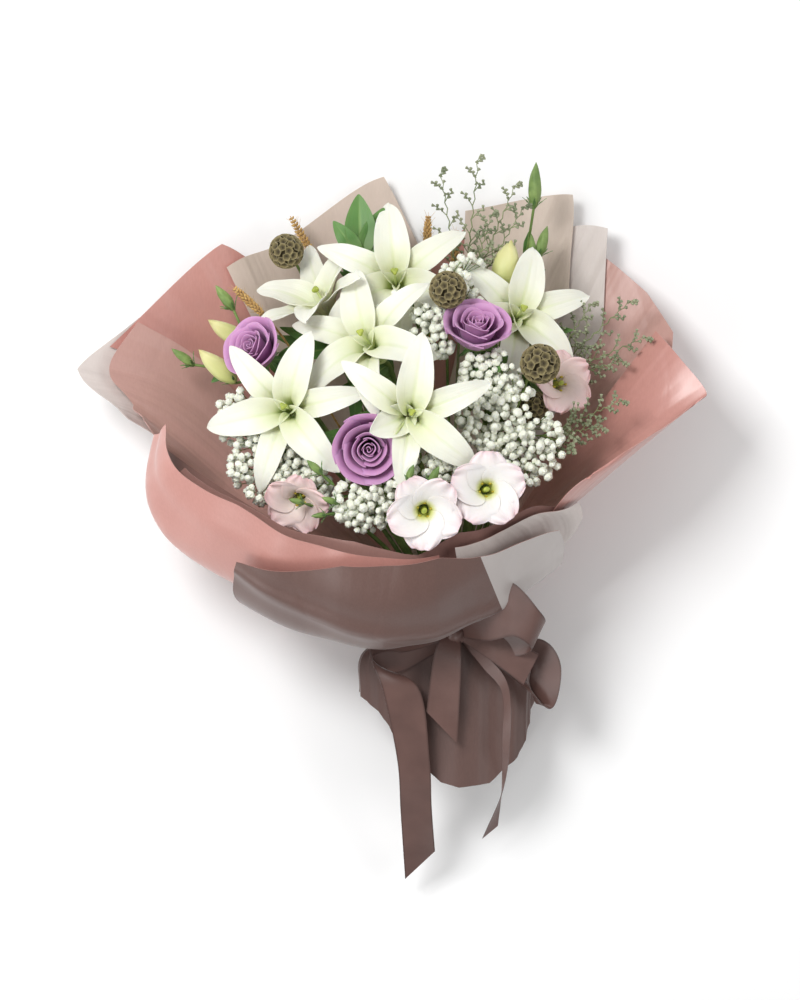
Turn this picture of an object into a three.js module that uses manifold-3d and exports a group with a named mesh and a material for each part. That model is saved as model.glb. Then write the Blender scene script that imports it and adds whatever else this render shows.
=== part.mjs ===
// A mixed flower bouquet with its paper wrapper and satin ribbon, laid on its back.
// Millimetres. +X is the right of the bouquet, +Y runs from the tie to the flower heads,
// +Z points up, away from the surface that the bouquet lies on.
import * as THREE from "three";
import { mergeVertices } from "three/addons/utils/BufferGeometryUtils.js";
import Module from "manifold-3d";

const wasm = await Module();
wasm.setup();

// ---------------------------------------------------------------- driving dimensions

const NECK = { x: 50, y: -70, z: 48 }; // centre of the tie, where the wrapper starts to open
const BUNDLE_RADIUS = 17; // the room for the cut stems where they are tied
const BUNDLE_DROP = 11.8; // how far they lie below the middle of the tie
const STEM_GAP = 0.2; // between neighbouring stems
const STEM_END_Y = -188; // where the stems are cut, inside the skirt
const SHEET_START_Y = -86; // the sheets' lower ends, under the ribbon
const SHEET_THICK = 0.8;
const SHEET_PITCH = 1.25; // from one sheet of the wrapper to the next at the tie
const SHEET_INNER = 18.5; // radius of the innermost sheet at the tie
const SHEET_LAYERS = 9;
const LAYER_SPREAD = 1.2; // how much wider the layers stand at their outer edge
const RIBBON_THICK = 0.8;
const PETAL_THICK = 0.9;
const LEAF_THICK = 0.8;
const FIT_GAP = 0.3; // between pieces that touch

const COLOURS = {
  lily: 0xeef0de,
  rose: 0xaf7db4,
  lisianthus: 0xf4eef0,
  lisianthusPink: 0xeed3d6,
  bud: 0xe6e3b8,
  green: 0x6f8f4a,
  leaf: 0x55813f,
  pod: 0x786e50,
  wheat: 0xc8a55f,
  gypsophila: 0xebeede,
  limonium: 0x8c876e,
  pink: 0xc8968f,
  taupe: 0xa59187,
  pale: 0xe1d7d2,
  brown: 0x7d615c,
  ribbon: 0x80625d,
};

// ---------------------------------------------------------------- small helpers

const vec = (x, y, z) => new THREE.Vector3(x, y, z);
const rad = THREE.MathUtils.degToRad;
const mix = (a, b, t) => a + (b - a) * t;
const smooth = (t) => {
  const c = Math.min(1, Math.max(0, t));
  return c * c * (3 - 2 * c);
};

// A seeded random source, the same each time.
function seeded(seed) {
  let state = seed;
  return () => {
    state = (state * 16807) % 2147483647;
    return state / 2147483647;
  };
}

// A closed geometry as a solid that can be joined and cut.
function solid(geometry) {
  const bare = geometry.clone();
  bare.deleteAttribute("normal");
  bare.deleteAttribute("uv");
  const merged = mergeVertices(bare, 1e-4);
  return new wasm.Manifold(
    new wasm.Mesh({
      numProp: 3,
      vertProperties: new Float32Array(merged.attributes.position.array),
      triVerts: new Uint32Array(merged.index.array),
    }),
  );
}

// The largest body of a solid as a geometry: what a cut leaves loose is dropped.
function geometryOf(body) {
  const bodies = body.decompose().sort((a, b) => b.volume() - a.volume());
  const mesh = bodies[0].getMesh();
  const points = new Float32Array(mesh.numVert * 3);
  for (let i = 0; i < mesh.numVert; i++) {
    points.set(mesh.vertProperties.subarray(i * mesh.numProp, i * mesh.numProp + 3), i * 3);
  }
  return new THREE.BufferGeometry()
    .setAttribute("position", new THREE.BufferAttribute(points, 3))
    .setIndex(new THREE.BufferAttribute(mesh.triVerts, 1));
}

const SEAM_SLACK = 0.12; // how far a face may move where small triangles at a seam are merged

function fuse(geometries) {
  return geometryOf(wasm.Manifold.union(geometries.map(solid)).simplify(SEAM_SLACK));
}

// A thin solid over surface(u, v), u from -1 to 1 across it and v from 0 to 1 along it.
// Both faces are split into triangles alike.
function blade(surface, thick, across, along) {
  const front = [];
  const back = [];
  const step = 1e-3;
  for (let j = 0; j <= along; j++) {
    for (let i = 0; i <= across; i++) {
      const u = -1 + (2 * i) / across;
      const v = j / along;
      const point = surface(u, v);
      const du = surface(u + step, v).sub(surface(u - step, v));
      const dv = surface(u, Math.min(1, v + step)).sub(surface(u, Math.max(0, v - step)));
      const normal = du.cross(dv).normalize();
      front.push(point.clone().addScaledVector(normal, thick / 2));
      back.push(point.clone().addScaledVector(normal, -thick / 2));
    }
  }
  return shell(front, back, across, along);
}

// Closes two grids of points, a front one and a back one, into one solid.
function shell(front, back, across, along) {
  const row = across + 1;
  const count = front.length;
  const index = [];
  const quad = (a, b, c, d) => index.push(a, b, c, a, c, d);
  for (let j = 0; j < along; j++) {
    for (let i = 0; i < across; i++) {
      const a = j * row + i;
      const [b, c, d] = [a + 1, a + row + 1, a + row];
      quad(a, b, c, d);
      index.push(a + count, c + count, b + count, a + count, d + count, c + count);
    }
  }
  for (let i = 0; i < across; i++) {
    const far = along * row + i;
    quad(i + count, i + 1 + count, i + 1, i);
    quad(far + 1 + count, far + count, far, far + 1);
  }
  for (let j = 0; j < along; j++) {
    const left = j * row;
    const right = left + across;
    quad(right + count, right + row + count, right + row, right);
    quad(left + row + count, left + count, left, left + row);
  }
  const points = [...front, ...back].flatMap((p) => p.toArray());
  return new THREE.BufferGeometry()
    .setAttribute("position", new THREE.Float32BufferAttribute(points, 3))
    .setIndex(index);
}

// A round rod along a list of points.
function rod(points, radius, sides, steps) {
  const section = new THREE.Shape(
    Array.from({ length: sides }, (_, k) => {
      const angle = (2 * Math.PI * k) / sides;
      return new THREE.Vector2(radius * Math.cos(angle), radius * Math.sin(angle));
    }),
  );
  const path =
    points.length === 2
      ? new THREE.LineCurve3(points[0], points[1])
      : new THREE.CatmullRomCurve3(points, false, "centripetal");
  return new THREE.ExtrudeGeometry(section, { steps, bevelEnabled: false, extrudePath: path });
}

// A rod through a list of points with a radius at each.
function loft(points, radii, sides) {
  const rings = [];
  let across = null;
  points.forEach((point, k) => {
    const next = points[Math.min(points.length - 1, k + 1)];
    const tangent = next.clone().sub(points[Math.max(0, k - 1)]).normalize();
    across ??= Math.abs(tangent.z) < 0.9 ? vec(0, 0, 1) : vec(1, 0, 0);
    across = across.clone().addScaledVector(tangent, -across.dot(tangent)).normalize();
    const up = tangent.clone().cross(across);
    for (let i = 0; i < sides; i++) {
      const angle = (2 * Math.PI * i) / sides;
      rings.push(
        point
          .clone()
          .addScaledVector(across, radii[k] * Math.cos(angle))
          .addScaledVector(up, radii[k] * Math.sin(angle)),
      );
    }
  });
  const index = [];
  for (let k = 0; k + 1 < points.length; k++) {
    for (let i = 0; i < sides; i++) {
      const [a, b] = [k * sides + i, k * sides + ((i + 1) % sides)];
      index.push(a, b, b + sides, a, b + sides, a + sides);
    }
  }
  const end = (points.length - 1) * sides;
  for (let i = 1; i + 1 < sides; i++) index.push(0, i + 1, i, end, end + i, end + i + 1);
  return new THREE.BufferGeometry()
    .setAttribute("position", new THREE.Float32BufferAttribute(rings.flatMap((p) => p.toArray()), 3))
    .setIndex(index);
}

// A body of revolution on the local +Z axis, from pairs of radius and height.
function turned(profile, sides) {
  const points = profile.map(([radius, height]) => new THREE.Vector2(radius, height));
  return new THREE.LatheGeometry(points, sides).rotateX(Math.PI / 2);
}

// A local frame: z along the facing direction, turned about it by spin degrees.
class Frame {
  constructor(at, facing, spin = 0) {
    this.at = vec(...at);
    this.z = vec(...facing).normalize();
    const side = Math.abs(this.z.y) < 0.9 ? vec(0, 1, 0) : vec(1, 0, 0);
    const x = side.clone().cross(this.z).normalize();
    const y = this.z.clone().cross(x);
    const angle = rad(spin);
    this.x = x.clone().multiplyScalar(Math.cos(angle)).addScaledVector(y, Math.sin(angle));
    this.y = this.z.clone().cross(this.x);
  }

  point(x, y, z) {
    return this.at
      .clone()
      .addScaledVector(this.x, x)
      .addScaledVector(this.y, y)
      .addScaledVector(this.z, z);
  }

  matrix() {
    return new THREE.Matrix4().makeBasis(this.x, this.y, this.z).setPosition(this.at);
  }

  place(geometry) {
    return geometry.applyMatrix4(this.matrix());
  }
}

// ---------------------------------------------------------------- room among the pieces

// Points on the surfaces of everything placed so far, in cells, so that florets and twigs
// can be kept clear of them.
const CELL = 10;
const SAMPLE = 4.5;
const taken = new Map();
const cellKey = (x, y, z) => `${Math.floor(x / CELL)},${Math.floor(y / CELL)},${Math.floor(z / CELL)}`;

function take(p) {
  const key = cellKey(p.x, p.y, p.z);
  if (!taken.has(key)) taken.set(key, []);
  taken.get(key).push(p.clone());
}

function occupy(geometry) {
  const bare = geometry.index ? geometry.toNonIndexed() : geometry;
  const points = bare.attributes.position;
  for (let i = 0; i < points.count; i += 3) {
    const [a, b, c] = [i, i + 1, i + 2].map((k) => vec().fromBufferAttribute(points, k));
    const longest = Math.max(a.distanceTo(b), b.distanceTo(c), c.distanceTo(a));
    const steps = Math.ceil(longest / SAMPLE);
    for (let j = 0; j <= steps; j++) {
      for (let k = 0; k <= steps - j; k++) {
        const weights = [j / steps, k / steps, 1 - (j + k) / steps];
        const p = a.clone().multiplyScalar(weights[0]);
        take(p.addScaledVector(b, weights[1]).addScaledVector(c, weights[2]));
      }
    }
  }
}

// Whether nothing placed so far is nearer to p than clear, which is at most CELL.
function roomFor(p, clear) {
  for (let i = -1; i <= 1; i++) {
    for (let j = -1; j <= 1; j++) {
      for (let k = -1; k <= 1; k++) {
        const near = taken.get(cellKey(p.x + i * CELL, p.y + j * CELL, p.z + k * CELL));
        if (near && near.some((q) => q.distanceTo(p) < clear)) return false;
      }
    }
  }
  return true;
}

function roomAlong(from, to, clear) {
  const steps = Math.ceil(from.distanceTo(to) / 3);
  for (let k = 1; k < steps; k++) {
    if (!roomFor(from.clone().lerp(to, k / steps), clear)) return false;
  }
  return true;
}

const bouquet = new THREE.Group();

function add(name, geometry, colour, roughness = 0.7) {
  const material = new THREE.MeshStandardMaterial({ color: COLOURS[colour], roughness });
  const mesh = new THREE.Mesh(geometry, material);
  mesh.name = name;
  bouquet.add(mesh);
  occupy(geometry);
}

// ---------------------------------------------------------------- the wrapper's two sweeps

// A rib is a curve from the tie outwards. angle goes round the tie: 0 is the back, which lies
// on the surface, 90 the right, 180 the front and 270 the left. Its points are in millimetres.
const BACK_RIBS = [
  { angle: 255, points: [[-108, -18, 48], [-186, 48, 72], [-238, 100, 96]] },
  { angle: 270, points: [[-112, 8, 40], [-202, 82, 64], [-264, 120, 88]] },
  { angle: 285, points: [[-108, 36, 30], [-200, 112, 56], [-283, 138, 78]] },
  { angle: 303, points: [[-95, 62, 18], [-176, 140, 44], [-243, 176, 64]] },
  { angle: 322, points: [[-62, 78, 8], [-120, 168, 24], [-160, 247, 46]] },
  { angle: 337, points: [[-30, 82, 2], [-72, 180, 10], [-104, 262, 28]] },
  { angle: 352, points: [[6, 84, -2], [-8, 190, 3], [-16, 312, 18]] },
  { angle: 370, points: [[48, 84, -2], [58, 190, 2], [60, 296, 16]] },
  { angle: 387, points: [[84, 78, 0], [112, 190, 7], [157, 298, 20]] },
  { angle: 402, points: [[108, 62, 6], [148, 166, 18], [192, 266, 32]] },
  { angle: 422, points: [[128, 42, 18], [184, 124, 42], [236, 200, 60]] },
  { angle: 440, points: [[140, 16, 38], [204, 82, 76], [266, 150, 92]] },
  { angle: 455, points: [[140, -6, 60], [208, 46, 108], [284, 100, 108]] },
  { angle: 470, points: [[132, -22, 94], [188, 28, 156], [232, 62, 156]] },
  { angle: 485, points: [[116, -34, 100], [154, 16, 166], [184, 30, 170]] },
];
const FRONT_RIBS = [
  { angle: 105, points: [[122, -42, 58], [170, 0, 90], [178, 20, 120], [166, 30, 142]] },
  { angle: 120, points: [[114, -54, 72], [156, -18, 106], [156, 4, 146], [138, 14, 170]] },
  { angle: 137, points: [[98, -64, 84], [128, -38, 118], [124, -8, 160], [106, 2, 184]] },
  { angle: 157, points: [[74, -72, 94], [88, -70, 130], [82, -38, 170], [72, -16, 194]] },
  { angle: 180, points: [[44, -76, 100], [36, -97, 134], [34, -66, 178], [32, -24, 201]] },
  { angle: 203, points: [[10, -78, 94], [-26, -102, 128], [-28, -72, 174], [-26, -26, 199]] },
  { angle: 223, points: [[-30, -78, 84], [-88, -88, 118], [-92, -54, 164], [-84, -16, 192]] },
  { angle: 243, points: [[-66, -70, 74], [-152, -52, 106], [-154, -18, 150], [-142, 14, 178]] },
  { angle: 260, points: [[-86, -48, 70], [-200, -22, 98], [-200, 14, 136], [-184, 38, 162]] },
  { angle: 275, points: [[-96, -24, 66], [-216, 26, 94], [-216, 54, 124], [-202, 66, 146]] },
  { angle: 288, points: [[-98, 4, 62], [-206, 72, 92], [-210, 82, 114], [-204, 92, 128]] },
];

const TIE_SHARE = 0.06; // the share of a sheet's length that runs along the stems
const TIE_PULL = 30; // how strongly a sheet keeps to the stems' direction as it opens

const tiePoint = (angle, radius, y) =>
  vec(NECK.x + radius * Math.sin(rad(angle)), y, NECK.z - radius * Math.cos(rad(angle)));

// Catmull-Rom through four values at parameter t between the middle two.
function spline(a, b, c, d, t) {
  const t2 = t * t;
  const t3 = t2 * t;
  return (
    0.5 *
    (2 * b + (c - a) * t + (2 * a - 5 * b + 4 * c - d) * t2 + (3 * b - a - 3 * c + d) * t3)
  );
}

// The smooth curve through knots at a position counted in knots. before is the point that the
// curve would come from, where that isn't its first stretch turned back.
function splineAt(knots, position, before) {
  const last = knots.length - 1;
  const k = Math.min(last - 1, Math.max(0, Math.floor(position)));
  const t = position - k;
  const b = knots[k];
  const c = knots[k + 1];
  const first = before ?? b.clone().multiplyScalar(2).sub(c);
  const a = k > 0 ? knots[k - 1] : first;
  const d = k < last - 1 ? knots[k + 2] : c.clone().multiplyScalar(2).sub(b);
  return vec(
    spline(a.x, b.x, c.x, d.x, t),
    spline(a.y, b.y, c.y, d.y, t),
    spline(a.z, b.z, c.z, d.z, t),
  );
}

// A sweep maps an angle round the tie and a share s, 0 at the tie and 1 at the far edge,
// to a point of the wrapper's middle surface.
function sweep(ribs) {
  const radius = SHEET_INNER + (SHEET_LAYERS * SHEET_PITCH) / 2;
  return (angle, s) => {
    let k = 0;
    while (k < ribs.length - 2 && angle > ribs[k + 1].angle) k++;
    const t = (angle - ribs[k].angle) / (ribs[k + 1].angle - ribs[k].angle);
    const along = ribs.map((rib) => {
      const tie = tiePoint(rib.angle, radius, NECK.y);
      if (s < TIE_SHARE) {
        return tiePoint(rib.angle, radius, mix(SHEET_START_Y, NECK.y, s / TIE_SHARE));
      }
      const knots = [tie, ...rib.points.map((p) => vec(...p))];
      const above = (s - TIE_SHARE) / (1 - TIE_SHARE);
      const before = tie.clone().add(vec(0, -TIE_PULL, 0));
      return splineAt(knots, above * (knots.length - 1), before);
    });
    return splineAt(along, k + t);
  };
}

const backSweep = sweep(BACK_RIBS);
const frontSweep = sweep(FRONT_RIBS);

// The outward normal of a sweep.
function sweepNormal(surface, angle, s) {
  const da = surface(angle + 0.2, s).sub(surface(angle - 0.2, s));
  const ds = surface(angle, Math.min(1, s + 0.004)).sub(surface(angle, Math.max(0, s - 0.004)));
  return ds.cross(da).normalize();
}

// Rows that all sheets of a sweep share, as shares s, so that neighbours bend at the same places.
// Above the last one a sheet has rows of its own, up to its outer edge.
const BACK_ROWS = [0, TIE_SHARE, 0.13, 0.26, 0.5];
const FRONT_ROWS = [0, TIE_SHARE, 0.13, 0.24, 0.38, 0.54, 0.72];
const ROWS_ABOVE = 2;

// How far a sheet stands out from the middle of the sweep.
function standOff(layer, rise, s) {
  return (SHEET_LAYERS / 2 - layer) * SHEET_PITCH * (1 + LAYER_SPREAD * s) - rise * s * s;
}

// One sheet: layer 0 is the outermost. left and right are its edges' angles at the tie and at
// its outer edge, top is its outer edge as a share s of the sweep by u, and rise lifts it
// inwards from the sheets under it, more and more towards the edge.
function sheet({ surface, rows, layer, left, right, top, across, start = 0, rise = 0 }) {
  const inner = [];
  const outer = [];
  const along = rows.length - 1 + ROWS_ABOVE;
  for (let j = 0; j <= along; j++) {
    for (let i = 0; i <= across; i++) {
      const u = i / across;
      const above = (j - rows.length + 1) / ROWS_ABOVE;
      const s = above > 0 ? mix(rows.at(-1), top(u), above) : j === 0 ? start : rows[j];
      const spread = smooth(Math.min(1, s * 1.6));
      const angle = mix(mix(left[0], left[1], spread), mix(right[0], right[1], spread), u);
      const normal = sweepNormal(surface, angle, s);
      const middle = surface(angle, s).addScaledVector(normal, standOff(layer, rise, s));
      const front = middle.clone().addScaledVector(normal, -SHEET_THICK / 2);
      const back = middle.clone().addScaledVector(normal, SHEET_THICK / 2);
      const floor = layer * SHEET_PITCH;
      back.z = Math.max(back.z, floor);
      front.z = Math.max(front.z, floor + SHEET_THICK);
      inner.push(front);
      outer.push(back);
    }
  }
  return shell(inner, outer, across, along);
}

// An outer edge with corners: pairs of u and s, straight in between.
function corners(pairs) {
  return (u) => {
    let k = 0;
    while (k < pairs.length - 2 && u > pairs[k + 1][0]) k++;
    const [u0, s0] = pairs[k];
    const [u1, s1] = pairs[k + 1];
    return mix(s0, s1, (u - u0) / (u1 - u0));
  };
}

const SHEETS = {
  paper_pink_back: {
    colour: "pink",
    surface: backSweep,
    rows: BACK_ROWS,
    layer: 1,
    left: [338, 346],
    right: [400, 392],
    top: corners([[0, 0.8], [0.5, 0.86], [1, 0.8]]),
    across: 5,
  },
  paper_pink_right_back: {
    colour: "pink",
    surface: backSweep,
    rows: BACK_ROWS,
    layer: 2,
    left: [400, 402],
    right: [440, 442],
    top: corners([[0, 0.72], [0.5, 1], [1, 0.9]]),
    across: 5,
  },
  paper_pale_left: {
    colour: "pale",
    surface: backSweep,
    rows: BACK_ROWS,
    layer: 1,
    left: [268, 266],
    right: [296, 306],
    top: corners([[0, 0.86], [0.5, 1], [1, 0.98]]),
    across: 5,
  },
  paper_left_pink: {
    colour: "pink",
    surface: backSweep,
    rows: BACK_ROWS,
    layer: 2,
    left: [296, 297],
    right: [342, 341],
    top: corners([[0, 0.97], [0.6, 1], [1, 0.72]]),
    across: 6,
  },
  paper_pale_right: {
    colour: "pale",
    surface: backSweep,
    rows: BACK_ROWS,
    layer: 3,
    left: [376, 380],
    right: [412, 414],
    top: corners([[0, 0.85], [0.65, 1], [1, 0.8]]),
    across: 5,
  },
  paper_taupe_left: {
    colour: "taupe",
    surface: backSweep,
    rows: BACK_ROWS,
    layer: 3,
    left: [318, 322],
    right: [358, 364],
    top: corners([[0, 0.93], [0.75, 1], [1, 0.78]]),
    across: 6,
    rise: 3,
  },
  paper_left_flap: {
    colour: "pink",
    surface: backSweep,
    rows: BACK_ROWS,
    layer: 3,
    left: [256, 257],
    right: [300, 305],
    top: corners([[0, 0.98], [0.4, 0.84], [1, 0.98]]),
    across: 6,
    rise: 8,
  },
  paper_taupe_right: {
    colour: "taupe",
    surface: backSweep,
    rows: BACK_ROWS,
    layer: 4,
    left: [362, 370],
    right: [396, 400],
    top: corners([[0, 0.8], [0.62, 1], [1, 0.8]]),
    across: 6,
    rise: 3,
  },
  paper_right_flap: {
    colour: "pink",
    surface: backSweep,
    rows: BACK_ROWS,
    layer: 8.2,
    left: [428, 430],
    right: [474, 483],
    top: corners([[0, 0.96], [0.46, 1], [1, 0.98]]),
    across: 7,
    rise: 6,
  },
  paper_right_front: {
    colour: "pale",
    surface: frontSweep,
    rows: FRONT_ROWS,
    layer: 5.6,
    left: [108, 112],
    right: [158, 168],
    top: corners([[0, 0.84], [0.5, 0.93], [1, 0.97]]),
    across: 6,
  },
  paper_left_collar: {
    colour: "pink",
    surface: frontSweep,
    rows: FRONT_ROWS,
    layer: 5.6,
    left: [186, 176],
    right: [280, 287],
    top: corners([[0, 0.95], [0.6, 1], [1, 0.94]]),
    across: 9,
    rise: 1,
  },
  paper_inner_collar: {
    colour: "pale",
    surface: frontSweep,
    rows: FRONT_ROWS,
    layer: 6.9,
    left: [114, 118],
    right: [262, 266],
    top: corners([[0, 0.84], [0.3, 1], [0.45, 0.95], [0.6, 1], [1, 0.96]]),
    across: 10,
    rise: 9,
  },
};

for (const [name, made] of Object.entries(SHEETS)) {
  add(name, sheet(made), made.colour, 0.5);
}

// ---------------------------------------------------------------- front collar and skirt

const FRONT_COLLAR = {
  surface: frontSweep,
  rows: FRONT_ROWS,
  layer: 0,
  left: [124, 128],
  right: [238, 236],
  top: corners([[0, 0.74], [0.4, 0.84], [0.75, 0.86], [1, 0.76]]),
  across: 10,
  start: 0.03,
};
const SKIRT = {
  radius: 30.1,
  topY: -79, // where it meets the front collar, which is the same sheet
  throatY: -96, // end of the narrow part under the ribbon
  spreadY: -118, // where it has opened to its full width
  width: 78,
  height: 36, // above the stems
  depth: 47, // below them, down to the surface that the bouquet lies on
  sideEndY: -150,
  frontEndY: -240,
  pleats: 13,
  pleatDepth: 0.05,
};

// The skirt's surface: angle as round the tie, v from the tie down to the cut edge.
function skirtPoint(angle, v) {
  const [sin, cos] = [Math.sin(rad(angle)), -Math.cos(rad(angle))];
  const endY = mix(SKIRT.sideEndY, SKIRT.frontEndY, Math.abs(cos) ** 0.6);
  const ring = (y, wide, high) => vec(NECK.x + wide * sin, y, NECK.z + high * cos);
  const open = cos > 0 ? SKIRT.height : SKIRT.depth;
  const top = ring(SKIRT.topY, SKIRT.radius, SKIRT.radius);
  const throat = ring(SKIRT.throatY, SKIRT.radius, SKIRT.radius);
  const spread = ring(SKIRT.spreadY, SKIRT.width, open);
  const end = ring(endY, SKIRT.width + 4, open - 1);
  const below = v * 3 - 1;
  const point = below < 0 ? top.lerp(throat, v * 3) : splineAt([throat, spread, end], below, top);
  const pleat = SKIRT.pleatDepth * Math.sin(rad(angle) * SKIRT.pleats) * smooth(v * 2 - 0.7);
  point.x += (point.x - NECK.x) * pleat;
  point.z = Math.max(SHEET_PITCH + SHEET_THICK / 2, point.z + (point.z - NECK.z) * pleat);
  return point;
}

const skirt = blade((u, v) => skirtPoint(180 + 174 * u, v), SHEET_THICK, 20, 6);
add("paper_front_collar_and_skirt", fuse([sheet(FRONT_COLLAR), skirt]), "brown", 0.6);

// ---------------------------------------------------------------- ribbon

// A strip of ribbon between its two edges, each a list of points.
function strip(edges, along, across = 1) {
  const [left, right] = edges.map((edge) => edge.map((p) => vec(...p)));
  const at = (edge, v) => splineAt(edge, v * (edge.length - 1));
  return blade(
    (u, v) => at(left, v).lerp(at(right, v), (u + 1) / 2),
    RIBBON_THICK,
    across,
    along,
  );
}

const RIBBON_KNOT = { at: [56, -101, 91], radius: 9.5 };
const RIBBON_BAND = { inner: 31.3, outer: 32.7, from: -80, to: -94 };
const RIBBON_STRIPS = [
  // left loop, which turns over into the long left tail
  [
    [[50, -94, 96], [12, -97, 119], [-14, -106, 123], [-22, -118, 116], [-10, -152, 104],
      [3, -215, 96], [6, -262, 70], [10, -325, 28]],
    [[52, -104, 86], [14, -112, 96], [-4, -118, 98], [-6, -126, 98], [26, -150, 102],
      [32, -215, 96], [34, -258, 78], [37, -299, 40]],
    9,
  ],
  // the left loop's way back to the knot
  [
    [[-20, -116, 112], [4, -112, 106], [50, -94, 94]],
    [[-6, -124, 98], [10, -122, 94], [52, -106, 86]],
    3,
  ],
  // short left tail
  [
    [[46, -98, 92], [36, -120, 101], [29, -171, 99]],
    [[60, -100, 92], [60, -135, 101], [57, -200, 96]],
    4,
  ],
  // right upper loop
  [
    [[56, -92, 92], [76, -76, 136], [102, -54, 152], [128, -78, 148], [134, -92, 128],
      [106, -98, 114], [60, -96, 96]],
    [[58, -104, 88], [84, -92, 118], [106, -78, 126], [122, -94, 122], [124, -108, 112],
      [104, -116, 104], [60, -106, 88]],
    8,
  ],
  // right lower loop
  [
    [[60, -98, 92], [104, -104, 102], [136, -108, 100], [150, -132, 96], [142, -168, 88],
      [118, -150, 94], [62, -104, 92]],
    [[60, -106, 86], [106, -112, 86], [132, -118, 74], [142, -134, 70], [138, -158, 70],
      [116, -140, 84], [62, -106, 86]],
    9,
  ],
  // short right tail
  [
    [[60, -96, 94], [96, -104, 108], [130, -119, 106]],
    [[58, -106, 92], [88, -126, 106], [116, -147, 102]],
    4,
  ],
  // long right tail, which twists
  [
    [[58, -102, 88], [86, -124, 104], [103, -150, 106], [104, -200, 98], [98, -242, 76],
      [80, -288, 34]],
    [[60, -108, 88], [80, -132, 100], [97, -155, 100], [97, -200, 96], [97, -240, 74],
      [94, -276, 40]],
    8,
  ],
];

function ribbon() {
  const { inner, outer, from, to } = RIBBON_BAND;
  const profile = [[inner, from], [outer, from], [outer, to], [inner, to], [inner, from]];
  const band = new THREE.LatheGeometry(profile.map(([r, y]) => new THREE.Vector2(r, y)), 18);
  band.translate(NECK.x, 0, NECK.z);
  const knot = new THREE.IcosahedronGeometry(RIBBON_KNOT.radius, 0);
  knot.scale(1.1, 1, 0.8).translate(...RIBBON_KNOT.at);
  const foot = rod([vec(56, -88, 80.8), vec(56, -88, 91)], 5, 6, 1);
  const strips = RIBBON_STRIPS.map(([left, right, along]) => strip([left, right], along));
  return fuse([band, knot, foot, ...strips]);
}

add("ribbon_with_bow", ribbon(), "ribbon", 0.45);

// ---------------------------------------------------------------- petals

const PETAL_STEPS = 20;

// A petal of a flower in its frame. slope gives the angle from the flower's axis in degrees at
// each share v of its length, width its width there, lift its height over the middle line at
// each u and v. start is its root: distance from the axis and height.
function petal(frame, turn, { length, start, slope, width, lift }) {
  const line = [];
  let [radius, height] = start;
  for (let k = 0; k <= PETAL_STEPS; k++) {
    line.push([radius, height]);
    const angle = rad(slope((k + 0.5) / PETAL_STEPS));
    radius += (Math.sin(angle) * length) / PETAL_STEPS;
    height += (Math.cos(angle) * length) / PETAL_STEPS;
  }
  return (u, v) => {
    const place = Math.min(PETAL_STEPS - 1e-9, Math.max(0, v * PETAL_STEPS));
    const k = Math.floor(place);
    const r = mix(line[k][0], line[k + 1][0], place - k);
    const h = mix(line[k][1], line[k + 1][1], place - k);
    const angle = rad(slope(v));
    const up = lift(u, v);
    const out = Math.max(1, r - Math.cos(angle) * up);
    const around = rad(turn) + (u * width(v)) / 2 / out;
    const rise = h + Math.sin(angle) * up;
    return frame.point(out * Math.cos(around), out * Math.sin(around), rise);
  };
}

// ---------------------------------------------------------------- lilies

const LILY = { length: 98, outerWidth: 25, innerWidth: 32, tube: 12, baseLength: 7 };

function lilyTepal(frame, { length = LILY.length, open = 84, curl = 34 }, k, bend = 0) {
  const inner = k % 2 === 1;
  const turn = k * 60;
  const wide = inner ? LILY.innerWidth : LILY.outerWidth;
  return petal(frame, turn, {
    length: length * (inner ? 0.97 : 1),
    start: [inner ? 4.4 : 6, 1],
    slope: (v) =>
      LILY.tube + (open - bend - LILY.tube) * smooth((v - 0.12) / 0.5) + curl * smooth((v - 0.55) / 0.45),
    width: (v) => wide * (mix(0.08, 1, smooth((v - 0.06) / 0.5)) * (1 - v ** 3.4) ** 0.8 + 0.03),
    lift: (u, v) =>
      (inner ? 3 : 0) * smooth((v - 0.08) * 3) * (1 - 0.5 * v) +
      wide * (inner ? 0.14 : 0.05) * u * u * smooth(v * 3) * (1 - v) +
      1.1 * Math.sin(9 * v + 2 * k + u) * Math.abs(u) * v,
  });
}

function lily({ at, face, spin = 0, bends = [], ...shape }) {
  const frame = new Frame(at, face, spin);
  const tepals = Array.from({ length: 6 }, (_, k) =>
    blade(lilyTepal(frame, shape, k, bends[k]), PETAL_THICK, 2, 4),
  );
  const base = turned([[0, -LILY.baseLength], [3, -LILY.baseLength], [7.4, 0], [7.2, 2.4], [0, 2.4]], 6);
  const style = [vec(0, 0, 2), vec(2, 3, 44), vec(2, 3, 47), vec(2, 3, 50)];
  const pistil = loft(style, [1.2, 1.2, 2.8, 0.8], 3);
  return fuse([...tepals, frame.place(base), frame.place(pistil)]);
}

const LILIES = {
  lily_front_left: { at: [-88, 98, 116], face: [-0.25, 0.02, 1], spin: 12 },
  lily_front_centre: { at: [14, 96, 152], face: [0.02, -0.06, 1], spin: 22 },
  lily_centre_behind: { at: [-12, 147, 113], face: [-0.4, 0.4, 0.9], spin: 47 },
  lily_top: { at: [3, 206, 72], face: [-0.05, 0.3, 0.95], spin: 36 },
  lily_top_left: { at: [-50, 172, 72], face: [-0.55, 0.8, 0.55], spin: 5, open: 56, length: 90 },
  lily_right: { at: [106, 178, 67], face: [0.2, 0.2, 0.95], spin: 16, length: 86 },
};
for (const [name, made] of Object.entries(LILIES)) add(name, lily(made), "lily", 0.55);

// ---------------------------------------------------------------- roses

const ROSE_RINGS = [
  { count: 3, root: 6.6, radius: 12, span: 114, flare: 2, height: 33, turn: 0 },
  { count: 4, root: 8.4, radius: 18, span: 86, flare: 5, height: 32, turn: 40 },
  { count: 4, root: 10, radius: 24, span: 84, flare: 9, height: 28, turn: 10 },
];

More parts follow.
